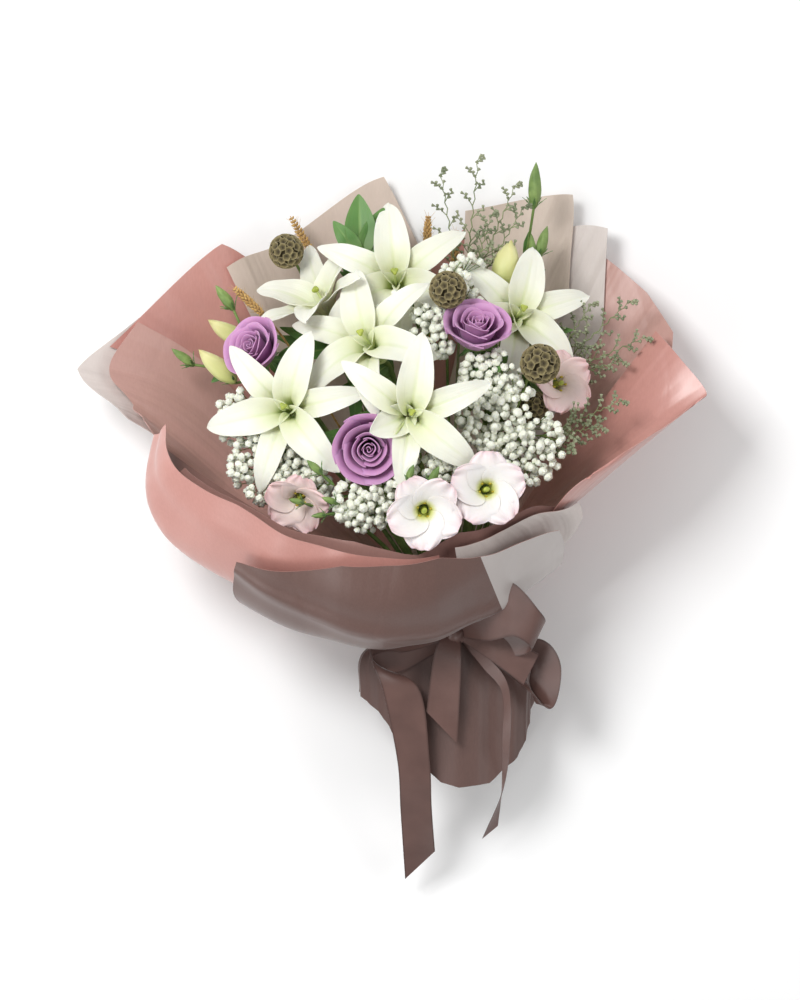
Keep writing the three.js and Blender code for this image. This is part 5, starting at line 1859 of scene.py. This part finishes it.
def sepals(
    axes: Axes, count: int, length: float, width: float, back: float, drop: float
) -> list[Surface]:
    """Narrow green sepals round the base of a bloom.

    Args:
        axes: the bloom's axes.
        count: how many there are.
        length, width: their size.
        back: how far below the bloom's place they grow.
        drop: how far they lean back, by their reach to the side.

    Returns:
        Their surfaces.
    """
    made = []
    for k in range(count):
        outward = axes.out(2 * math.pi * k / count)
        root = axes.at - axes.z * back + outward
        made.append(leaf(root, outward - drop * axes.z, axes.z, length, width, 0.2, 0.4, k))
    return made


@dataclass(frozen=True)
class Bud:
    """A closed bud: its petals twist round it."""

    at: Point
    face: Point
    length: float
    radius: float
    cream: bool = False

    @cached_property
    def axes(self) -> Axes:
        """The bud's place and directions."""
        return Axes.facing(self.at, self.face)

    def surface(self) -> Surface:
        """The bud's skin.

        Returns:
            Its surface.
        """
        shape = ((0, 0), (0.45, 0.04), (0.95, 0.3), (0.8, 0.65), (0.35, 0.88), (0, 1))
        profile = [(r * self.radius, h * self.length) for r, h in shape]
        ribs, depth = (3, 0.09) if self.cream else (5, 0.07)
        return turned(self.axes, profile, ribs, depth, 0.4)


class Greenery:
    """A stem in the making with its leaves, sepals and side shoots."""

    def __init__(self, stem: Stem) -> None:
        """Starts with the stem alone.

        Args:
            stem: the stem.
        """
        self.stem = stem
        self.clay = Clay()
        self.faces: Faces = []
        self.lines = stem.lines()

    def leaves(self, shapes: Iterable[Surface], across: int, along: int) -> None:
        """Adds leaves or sepals, each a grid of so many steps."""
        for shape in shapes:
            self.faces += self.clay.bend(shape, across, along, 1)

    def finish(self, sides: int, buds: Iterable[Bud], across: int, along: int) -> Piece:
        """Makes the piece.

        Args:
            sides: the stalks' sides.
            buds: the green buds.
            across, along: the steps of a bud's grid.

        Returns:
            The piece.
        """
        if self.faces:
            self.clay.thicken(self.faces, LEAF_THICK)
        self.clay.stalks(self.lines, 0, sides)
        for bud in buds:
            self.clay.bend(bud.surface(), across, along, 2, weld=True)
        node = self.stem.node
        return piece(f"{node}_green", self.clay, (STEM, LEAF, SEPAL), "stem_green", node)


@dataclass(frozen=True)
class Tuft:
    """Leaves at the end of a side shoot: the shoot's points, and each leaf's direction and size."""

    shoot: tuple[Point, ...]
    leaves: tuple[tuple[Point, float, float], ...]


@dataclass(frozen=True)
class Stalk:
    """A stem with what is green on it: sepals under its bloom and leaves along it."""

    stem: Stem
    sepals_of: Axes | None = None
    size: float = 1.0
    foliage: Foliage | None = None
    tuft: Tuft | None = None
    buds: tuple[Bud, ...] = ()

    def build(self, room: Room) -> Piece:
        """Makes the stem, with its leaves clear of the blooms in the room.

        Args:
            room: the blooms.

        Returns:
            The piece.
        """
        green = Greenery(self.stem)
        if self.sepals_of:
            green.leaves(sepals(self.sepals_of, 5, 17, 7, 5 * self.size + 2, 0.7), 6, 12)
        if self.foliage:
            for line, _ in green.lines:
                green.leaves(self.foliage.leaves(line, room), 10, 24)
        if self.tuft:
            root = mix(self.stem.knots[1], self.stem.knots[2], 0.97)
            shoot = Stem.rounded(np.vstack([root, np.array(self.tuft.shoot, float)]))
            green.lines.append((shoot, [1.3] * len(shoot)))
            for along, length, width in self.tuft.leaves:
                shape = leaf(shoot[-1], along, (0.3 * along[0], 0.1, 1), length, width, 0.08)
                green.leaves([shape], 12, 30)
        main = green.lines[0][0]
        for bud in self.buds:
            axes = bud.axes
            bend = axes.at - axes.z * 16 - np.array([0, 0, 6.0])
            corners = np.array([spot(main, len(main) * 0.8), bend, axes.at + axes.z])
            thread = Stem.rounded(corners)
            green.lines.append((thread, np.linspace(1.0, 0.8, len(thread))))
            green.leaves(sepals(axes, 4, 0.6 * bud.length, 2.0, 0.8, -1.5), 4, 8)
            green.leaves([leaf(bend, axes.z, axes.x, 17, 3.2, 0.1)], 4, 12)
        return green.finish(10, self.buds, 20, 16)


TOP_TUFT = Tuft(
    ((-38, 214, 70), (-29, 236, 94)),
    (
        ((-0.05, 1, -0.04), 58.0, 27.0),
        ((-0.62, 0.8, 0.05), 42.0, 17.0),
        ((0.4, 0.9, -0.05), 50.0, 21.0),
    ),
)


# --- buds


@dataclass(frozen=True)
class BudStem:
    """A stem that forks to several buds."""

    stem: Stem
    hub: Point
    buds: tuple[Bud, ...]

    def build(self, room: Room) -> list[Piece]:
        """Makes the stem with its green buds, and each cream bud.

        Args:
            room: the blooms.

        Returns:
            The pieces.
        """
        green = Greenery(self.stem)
        made: list[Piece] = []
        for k, bud in enumerate(self.buds):
            axes = bud.axes
            end = axes.at + axes.z * (-0.5 if bud.cream else 1.0)
            middle = mix(np.array(self.hub, float), end, 0.6) - axes.z * 6
            line = Stem.rounded(np.array([self.hub, middle, end], float))
            green.lines.append((line, np.linspace(1.5, 1.2, len(line))))
            green.leaves(sepals(axes, 5, min(15.0, 0.5 * bud.length), 2.4, 1.2, -1.5), 4, 10)
            green.leaves(Foliage(1, (0.3, 0.6), 22, 8, 40 + k).leaves(line, room), 6, 14)
            if bud.cream:
                cream = Clay()
                cream.bend(bud.surface(), 40, 36, weld=True)
                node = f"{self.stem.node.replace('stem_of', 'cream')}_{k + 1}"
                made.append(piece(f"{node}_bud", cream, (BUD_CREAM,), "cream_bud", node))
        made.append(green.finish(8, [bud for bud in self.buds if not bud.cream], 30, 24))
        return made


SMALL_BUDS = {
    "lisianthus_left": (
        Bud((-80, 16, 164), (-0.9, 0.25, 0.3), 15, 2.8),
        Bud((-60, 6, 168), (-0.9, -0.1, 0.2), 14, 2.6),
        Bud((-50, 16, 172), (-0.8, 0.3, 0.3), 16, 3),
        Bud((-64, 42, 172), (-0.75, 0.7, 0.3), 19, 3.6),
    ),
    "lisianthus_front_left": (
        Bud((12, 36, 192), (0.35, 0.9, 0.3), 16, 3.4),
        Bud((31, 32, 198), (0.45, 0.85, 0.3), 20, 4),
    ),
}
LEFT_HUB, RIGHT_HUB = (-126, 140, 84), (112, 196, 42)
BUD_STEMS = (
    BudStem(
        Stem("stem_of_left_buds", 2, LEFT_HUB, (-0.4, 0.8, 0.5), -1.5),
        LEFT_HUB,
        (
            Bud((-132, 159, 66), (-0.8, 0.5, 0.3), 44, 8.5, True),
            Bud((-142, 124, 104), (-0.8, 0.72, 0.3), 46, 9, True),
            Bud((-144, 190, 86), (-0.6, 0.8, 0.2), 28, 5),
            Bud((-180, 140, 88), (-0.8, 0.6, 0.3), 26, 4.2),
        ),
    ),
    BudStem(
        Stem("stem_of_right_buds", 2, RIGHT_HUB, (0.2, 1, 0.3), -1.5),
        RIGHT_HUB,
        (
            Bud((98, 208, 80), (0.16, 0.95, 0.12), 46, 13, True),
            Bud((126, 282, 70), (0.05, 1, 0.1), 42, 6),
            Bud((130, 238, 60), (0.3, 1, 0.1), 30, 5),
            Bud((126, 236, 62), (-0.1, 1, 0.15), 24, 3.5),
        ),
    ),
)


# --- seed heads


@dataclass(frozen=True)
class SeedHead:
    """A round dry head of papery cups, each with a dark star in it."""

    node: str
    at: Point
    face: Point
    radius: float
    cups: int = 64

    @staticmethod
    def cup() -> Mesh:
        """A cup of radius 1 that opens along z, with a pleated rim.

        Returns:
            The cup.
        """
        clay = Clay()

        def surface(u: Array, v: Array) -> Array:
            """The cup by the shares round it and out from its middle."""
            around = np.pi * u
            pleat = 1 + 0.09 * np.cos(5 * around) * v
            flat = np.stack(
                [v * pleat * np.cos(around), v * pleat * np.sin(around), 0.62 * v**1.6], -1
            )
            return flat / MM - SHIFT

        faces = clay.bend(surface, 10, 2, weld=True)
        bmesh.ops.solidify(clay.bm, geom=faces, thickness=0.07)
        return clay.mesh("cup")

    @staticmethod
    def star() -> Mesh:
        """A star with five points on a low cone.

        Returns:
            The star.
        """
        bm = bmesh.new()
        bmesh.ops.create_cone(
            bm, cap_ends=True, segments=10, radius1=0.62, radius2=0.1, depth=0.16
        )
        for vert in bm.verts:
            angle = math.atan2(vert.co.y, vert.co.x)
            if vert.co.z < 0:
                vert.co.xy *= 1.0 if math.cos(5 * angle) > 0 else 0.42
        return mesh_from(bm, "star")

    def build(self) -> Piece:
        """Makes the head and its stem.

        Returns:
            The piece.
        """
        clay, core = Clay(), bmesh.new()
        bmesh.ops.create_icosphere(core, subdivisions=3, radius=0.8 * self.radius)
        middle = Vector(metres(np.array(self.at, float)))
        ball = mesh_from(core, "core")
        clay.strew(ball, [Matrix.Translation(middle) @ Matrix.Scale(MM, 4)], 3)
        golden = math.pi * (3 - math.sqrt(5))  # the turn from one cup to the next
        cups, stars = [], []
        for k in range(self.cups):
            z = 1 - (2 * k + 1) / self.cups
            flat = math.sqrt(1 - z * z)
            out = np.array([flat * math.cos(golden * k), flat * math.sin(golden * k), z])
            for share, size, made in ((0.86, 0.26, cups), (0.9, 0.15, stars)):
                place = Axes.facing(np.array(self.at) + out * self.radius * share, out, 37.0 * k)
                made.append(place.matrix(self.radius * size))
        clay.strew(self.cup(), cups, 0)
        clay.strew(self.star(), stars, 1)
        clay.stalks(Stem(self.node, 1.3, self.at, self.face).lines(), 2)
        return piece(f"{self.node}_cups", clay, (CUP, POD_DARK, STEM, POD), "seed_head", self.node)


SEED_HEADS = (
    SeedHead("seed_head_top_left", (-97, 243, 77), (-0.3, 0.1, 0.95), 15),
    SeedHead("seed_head_middle", (48, 206, 150), (0.1, 0.5, 0.9), 16),
    SeedHead("seed_head_right", (130, 140, 154), (0.4, 0.1, 0.9), 17),
    SeedHead("seed_head_low_right", (124, 102, 106), (0.3, -0.2, 0.9), 14),
)


# --- sprays


@dataclass(frozen=True)
class Patch:
    """A cloud of florets: its middle, its reach to the sides and how many it holds."""

    x: float
    y: float
    z: float
    reach: float
    count: int


@dataclass(frozen=True)
class BabysBreath:
    """A spray of baby's breath: hair-thin stalks that fork to white double florets."""

    node: str
    hub: Point
    seed: int
    patches: tuple[Patch, ...]
    floret: float = 4.1
    apart: float = 1.42  # the least distance of two florets, in florets
    over: float = 40.0  # none hangs over a bloom that is nearer than this
    reach: float = 14.0  # of the fine stalks of a group, from where they fork

    @staticmethod
    def ball(seed: int) -> Mesh:
        """A ruffled floret of radius 1 with a few dozen faces.

        Args:
            seed: what its ruffles are drawn from.

        Returns:
            The floret.
        """
        chance = random.Random(seed)
        bm = bmesh.new()
        bmesh.ops.create_uvsphere(bm, u_segments=10, v_segments=6, radius=1.0)
        for vert in bm.verts:
            around = math.atan2(vert.co.y, vert.co.x)
            lobe = math.cos(5 * around + 2.6 * round(vert.co.z * 2))
            vert.co *= (0.84 + 0.2 * lobe) * chance.uniform(0.84, 1.08)
            vert.co.z *= 0.86
        return mesh_from(bm, "floret")

    def places(
        self, patch: Patch, room: Room, chance: random.Random, taken: list[Array]
    ) -> list[Array]:
        """Finds places for a patch's florets, clear of the blooms and of each other.

        Args:
            patch: the patch.
            room: the blooms.
            chance: the spray's draws.
            taken: the florets' places so far, to which the new ones are added.

        Returns:
            The new places.
        """
        found: list[Array] = []
        for _ in range(patch.count * FLORET_TRIES):
            if len(found) == patch.count:
                break
            around = chance.uniform(0, 2 * math.pi)
            out = patch.reach * math.sqrt(chance.random())
            z = patch.z - 0.25 * out + chance.uniform(-12, 9)
            x, y = patch.x + out * math.cos(around), patch.y + out * math.sin(around)
            point = np.array([x, y, z])
            apart = self.apart * self.floret
            if taken and np.linalg.norm(np.array(taken) - point, axis=1).min() < apart:
                continue
            if room.gap(point) < self.floret + 0.5 or room.over(point, self.over):
                continue
            found.append(point)
            taken.append(point)
        return found

    def build(self, room: Room) -> Piece:
        """Makes the spray.

        Args:
            room: the blooms.

        Returns:
            The piece.
        """
        chance = random.Random(self.seed)
        hub = np.array(self.hub, float)
        stem = Stem(self.node, 1.5, self.hub, (0, 0.3, 1), -1.5)
        main, fine, taken = stem.lines(), [], []
        florets: list[list[Matrix]] = [[], [], []]
        for patch in self.patches:
            places = self.places(patch, room, chance, taken)
            forks = max(1, len(places) // 7)
            centres = places[:forks]
            groups: list[list[Array]] = [[] for _ in centres]
            for point in places:
                groups[int(np.argmin([np.linalg.norm(point - c) for c in centres]))].append(point)
            for group in filter(None, groups):
                middle = np.mean(group, 0)
                fork = middle + unit(hub - middle) * self.reach - np.array([0, 0, 5.0])
                bent = np.array([hub, mix(hub, fork, 0.5) + (0, 0, 4), fork])
                main.append((through(bent, np.linspace(0, 2, 7)), np.linspace(0.9, 0.5, 7)))
                for point in group:
                    bend = mix(fork, point, 0.55) + np.array([0, 0, -2.0])
                    line = through(np.array([fork, bend, point]), np.linspace(0, 2, 5))
                    fine.append((line, [0.35, 0.3, 0.3, 0.35, 0.9]))
                    place = Axes.facing(point, (point - bend) + (0, 0, 3), chance.uniform(0, 360))
                    size = self.floret * chance.uniform(0.8, 1.3)
                    florets[chance.randrange(3)].append(place.matrix(size))
        clay = Clay()
        clay.stalks(main, 0)
        clay.stalks(fine, 0, 4)
        for kind, matrices in enumerate(florets):
            clay.strew(self.ball(self.seed + kind), matrices, 1)
        LOG.info("%s has %d florets", self.node, len(taken))
        return piece(f"{self.node}_spray", clay, (STEM, FLORET), "babys_breath", self.node)


BABYS_BREATH = (
    BabysBreath("babys_breath_left", (-92, 52, 110), 11, (
        Patch(-110, 50, 150, 36, 130), Patch(-84, 26, 152, 30, 80), Patch(-134, 92, 134, 26, 60),
    )),
    BabysBreath("babys_breath_front", (14, 36, 130), 12, (
        Patch(-26, 18, 176, 28, 90), Patch(22, 50, 178, 28, 80), Patch(54, 48, 180, 22, 50),
    )),
    BabysBreath("babys_breath_right", (88, 76, 112), 13, (
        Patch(92, 96, 160, 36, 140), Patch(116, 68, 152, 36, 110), Patch(86, 126, 154, 28, 80),
    )),
    BabysBreath("babys_breath_top", (20, 150, 92), 14, (
        Patch(-18, 186, 136, 26, 80), Patch(36, 172, 150, 26, 70), Patch(64, 214, 122, 24, 50),
    )),
)


@dataclass(frozen=True)
class SeaLavender:
    """A spray of sea lavender: zigzag twigs with side twigs and tiny dry florets."""

    node: str
    hub: Point
    seed: int
    tips: tuple[Point, ...]
    zigzag: float = 2.2
    arch: float = 10.0
    side_twigs: int = 11
    size: float = 1.6  # of a floret

    @staticmethod
    def floret() -> Mesh:
        """A tiny cup of radius 1.

        Returns:
            The cup.
        """
        bm = bmesh.new()
        bmesh.ops.create_cone(
            bm, cap_ends=True, segments=6, radius1=0.35, radius2=1.0, depth=2.0
        )
        return mesh_from(bm, "cup")

    def cup(self, at: Array, lean: Array) -> Matrix:
        """The placing of a floret on a twig."""
        return Axes.facing(at + lean * self.size, lean).matrix(self.size)

    def build(self) -> Piece:
        """Makes the spray.

        Returns:
            The piece.
        """
        chance = random.Random(self.seed)
        hub = np.array(self.hub, float)
        stem = Stem(self.node, 1.2, self.hub, (0.2, 1, 0.2), -1.5)
        lines: list[Line] = stem.lines()
        cups: list[Matrix] = []
        for place in self.tips:
            tip = np.array(place, float)
            side = unit((hub[1] - tip[1], tip[0] - hub[0], 0))
            shares = np.linspace(0, 1, 2 * self.side_twigs + 1)
            zig = np.where(np.arange(len(shares)) % 2, 1, -1) * self.zigzag * 0.4 * (shares > 0.25)
            line = mix(hub, tip, shares[:, None]) + np.multiply.outer(zig, side)
            line[:, 2] += self.arch * shares * (1 - shares)
            lines.append((line, np.linspace(0.85, 0.35, len(line))))
            ahead = unit(tip - hub)
            for k in range(self.side_twigs):
                j = 2 * k + 1 + (len(shares) // 4 if k < 3 else 0)
                share = shares[min(j, len(shares) - 1)]
                if share < 0.3:
                    continue
                root = line[min(j, len(line) - 2)]
                hand = 1 if k % 2 else -1
                up = np.array([0, 0, chance.uniform(-0.15, 0.35)])
                out = unit(ahead * 1.1 + side * hand + up)
                end = root + out * (20 * (1.1 - share) + 5)
                lines.append((np.array([root, mix(root, end, 0.5) + ahead, end]), [0.45, 0.4, 0.3]))
                for n in range(4):
                    lean = unit(out + side * (0.8 if n % 2 else -0.8) + (0, 0, 0.4))
                    cups.append(self.cup(mix(root, end, 0.4 + 0.2 * n), lean))
            for n in range(5):
                lean = unit(ahead + side * (0.9 if n % 2 else -0.9) + (0, 0, 0.3))
                cups.append(self.cup(mix(line[-1], line[-6], n / 5), lean))
        clay = Clay()
        clay.stalks(lines, 0)
        clay.strew(self.floret(), cups, 1)
        finishes = (LAVENDER_TWIG, LAVENDER_FLORET)
        return piece(f"{self.node}_spray", clay, finishes, "sea_lavender", self.node)


SEA_LAVENDER = (
    SeaLavender("sea_lavender_top", (62, 190, 62), 21, (
        (76, 328, 74), (42, 316, 66), (110, 304, 82), (118, 284, 92), (88, 276, 100),
    )),
    SeaLavender("sea_lavender_right", (132, 124, 56), 22, (
        (214, 199, 88), (228, 166, 90), (178, 196, 84), (206, 144, 92),
    )),
    SeaLavender("sea_lavender_low_right", (132, 76, 100), 23, (
        (204, 108, 142), (160, 66, 150), (186, 84, 134),
    )),
)


@dataclass(frozen=True)
class GoldenGrass:
    """An ear of golden grass: plump grains round a stalk, with short bristles."""

    node: str
    at: Point
    base: Point
    seed: int
    radius: float = 4.4
    rows: int = 14
    bristles: float = 0.3  # the share of grains with one
    beside: Point | None = None  # where a second ear stands from the first

    @staticmethod
    def grain() -> Mesh:
        """A pointed grain of length 2 along z.

        Returns:
            The grain.
        """
        bm = bmesh.new()
        bmesh.ops.create_icosphere(bm, subdivisions=1, radius=1.0)
        for vert in bm.verts:
            vert.co.xy *= 0.62
            vert.co.z = vert.co.z * 1.2 + 0.8
        return mesh_from(bm, "grain")

    def build(self) -> Piece:
        """Makes the ear and its stem.

        Returns:
            The piece.
        """
        chance = random.Random(self.seed)
        top, base = np.array(self.at, float), np.array(self.base, float)
        axes, feet = Axes.facing(base, top - base), [base]
        length = float(np.linalg.norm(top - base))
        lines = Stem(self.node, 1.0, self.base, tuple(axes.z), -2).lines()
        lines.append((np.array([base, top]), [0.9, 0.4]))
        if self.beside:
            feet.append(base + self.beside)
            lines.append((np.array([base - axes.z * 30, feet[1]]), [0.8, 0.8]))
            lines.append((np.array([base, top]) + self.beside, [0.9, 0.4]))
        grains: list[Matrix] = []
        for foot, row in ((foot, row) for foot in feet for row in range(self.rows)):
            share = row / self.rows
            for k in range(5):
                out = axes.out(math.pi * (2 * k + row) / 5)
                plump = self.radius * math.sin(math.pi * (0.2 + 0.68 * share)) ** 0.6
                at = foot + axes.z * length * share + out * plump * 0.35
                lean = unit(axes.z + out * 0.8)
                grains.append(Axes.facing(at, lean).matrix(plump * chance.uniform(0.42, 0.52)))
                if chance.random() < self.bristles:
                    tip = at + lean * self.radius * 2.0
                    lines.append((np.array([at, tip]), [0.18, 0.08]))
        clay = Clay()
        clay.stalks(lines, 0)
        clay.strew(self.grain(), grains, 0)
        return piece(f"{self.node}_ear", clay, (GRASS,), "golden_grass", self.node)


GOLDEN_GRASS = (
    GoldenGrass("golden_grass_left", (-94, 276, 45), (-70, 235, 43), 31),
    GoldenGrass("golden_grass_low_left", (-144, 210, 90), (-116, 184, 90), 32),
    GoldenGrass("golden_grass_top", (31, 276, 56), (29, 240, 60), 33, beside=(25, -13, 4)),
)


# --- stage


@dataclass(frozen=True)
class Studio:
    """A plain pale floor, soft light and a camera that looks down on the bouquet."""

    scale: float = 0.0009  # metres for each pixel of the photograph
    centre: tuple[float, float] = (5.4, 18.9)  # the photograph's middle, in layout mm
    distance: float = 6.0
    height: float = 0.08  # where the scale holds
    sensor: float = 36.0
    frame_height: float = 1000.0  # the photograph's, in pixels
    floor_size: float = 6.0
    floor_tones: tuple[float, float] = (0.92, 0.94)
    surround: float = 0.45
    lamps: tuple[tuple[str, Point, float, float], ...] = (
        ("key", (-0.9, 0.9, 2.0), 0.8, 36.0),
        ("fill", (1.5, 0.2, 1.5), 1.0, 9.0),
        ("low", (-1.4, -1.2, 1.3), 1.0, 12.0),
    )  # each one's name, place, size and watts

    def camera(self) -> None:
        """Looks straight down at the photograph's frame."""
        data = bpy.data.cameras.new("camera")
        data.sensor_width = self.sensor
        data.lens = self.sensor * self.distance / (self.frame_height * self.scale)
        made = in_scene("camera", data)
        middle = metres(np.array([*self.centre, 0.0]))
        made.location = (middle[0], middle[1], self.height + self.distance)
        bpy.context.scene.camera = made

    def floor(self) -> None:
        """Lays the floor."""
        bm = bmesh.new()
        bmesh.ops.create_grid(bm, x_segments=2, y_segments=2, size=self.floor_size)
        made = in_scene("floor", mesh_from(bm, "floor"))
        made.location.z = -0.5 * MM
        graph = Graph("floor")
        dark, light = ((tone, tone, tone, 1.0) for tone in self.floor_tones)
        base = graph.ramp(graph.noise(3.0), (0.3, dark), (0.7, light))
        finish = graph.finish(Base_Color=base, Roughness=0.9, Specular_IOR_Level=0.1)
        made.data.materials.append(finish)

    def light(self) -> None:
        """Hangs a large soft lamp, a fill and a pale surround."""
        for name, place, size, power in self.lamps:
            data = bpy.data.lights.new(name, "AREA")
            data.size = size
            data.energy = power
            made = in_scene(name, data)
            made.location = place
            aim = Vector((0, 0, self.height)) - Vector(place)
            made.rotation_euler = aim.to_track_quat("-Z", "Y").to_euler()
        world = bpy.data.worlds.new("surround")
        world.use_nodes = True
        sky = world.node_tree.nodes["Background"]
        sky.inputs["Color"].default_value = (1, 1, 1, 1)
        sky.inputs["Strength"].default_value = self.surround
        bpy.context.scene.world = world
        bpy.context.scene.view_settings.view_transform = "Standard"

    def build(self) -> None:
        """Sets the scene."""
        self.camera()
        self.floor()
        self.light()


# --- the bouquet


@dataclass
class Bouquet:
    """The whole bouquet, built from the wrapper outwards in."""

    blooms: list[Piece] = field(default_factory=list)

    def wrapper(self) -> None:
        """Makes the sheets, the skirt and the ribbon."""
        Ribbon().build()
        for sheet in SHEETS:
            sheet.build()
        Skirt().build()

    def flowers(self) -> None:
        """Makes the blooms and seed heads."""
        for maker in (*LILIES, *ROSES, *LISIANTHUS, *SEED_HEADS):
            self.blooms.append(maker.build())

    def greenery(self) -> None:
        """Makes the stems, leaves and buds, clear of the blooms."""
        room = Room(self.blooms)
        for k, rose in enumerate(ROSES):
            stem = Stem(f"stem_of_{rose.node}", 2.8, rose.at, rose.face, 5 * rose.size)
            tuft = TOP_TUFT if rose.node == "rose_top" else None
            axes = Axes.facing(rose.at, rose.face, 20)
            Stalk(stem, axes, rose.size, Foliage(2, (0.55, 0.9), 46, 24, 50 + k), tuft).build(room)
        pairs = (("left", 0, 4), ("middle", 1, 2), ("right", 5, 3))
        for k, (side, first, second) in enumerate(pairs):
            one, two = LILIES[first], LILIES[second]
            stem = Stem(
                f"stem_of_{side}_lilies", 3.6, one.at, one.face, one.base_length, (two.at, two.face)
            )
            Stalk(stem, foliage=Foliage(4, (0.5, 0.92), 70, 15, 60 + k)).build(room)
        for k, bloom in enumerate(LISIANTHUS):
            stem = Stem(f"stem_of_{bloom.node}", 2, bloom.at, bloom.face, 4)
            foliage = Foliage(3, (0.6, 0.95), 34, 14, 70 + k)
            Stalk(stem, foliage=foliage, buds=SMALL_BUDS.get(bloom.node, ())).build(room)
        for stem in BUD_STEMS:
            stem.build(room)

    def sprays(self) -> None:
        """Makes the baby's breath, sea lavender and golden grass."""
        room = Room(self.blooms)
        for spray in BABYS_BREATH:
            spray.build(room)
        for maker in (*SEA_LAVENDER, *GOLDEN_GRASS):
            maker.build()


def note_sizes() -> None:
    """Writes the solid model's box and this one's."""
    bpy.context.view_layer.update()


def main() -> None:
    """Builds the scene."""
    logging.basicConfig(level=logging.INFO, format="%(message)s")
    Studio().build()
    bouquet = Bouquet()
    bouquet.wrapper()
    bouquet.flowers()
    bouquet.greenery()
    bouquet.sprays()
    note_sizes()


if __name__ == "__main__":
    main()
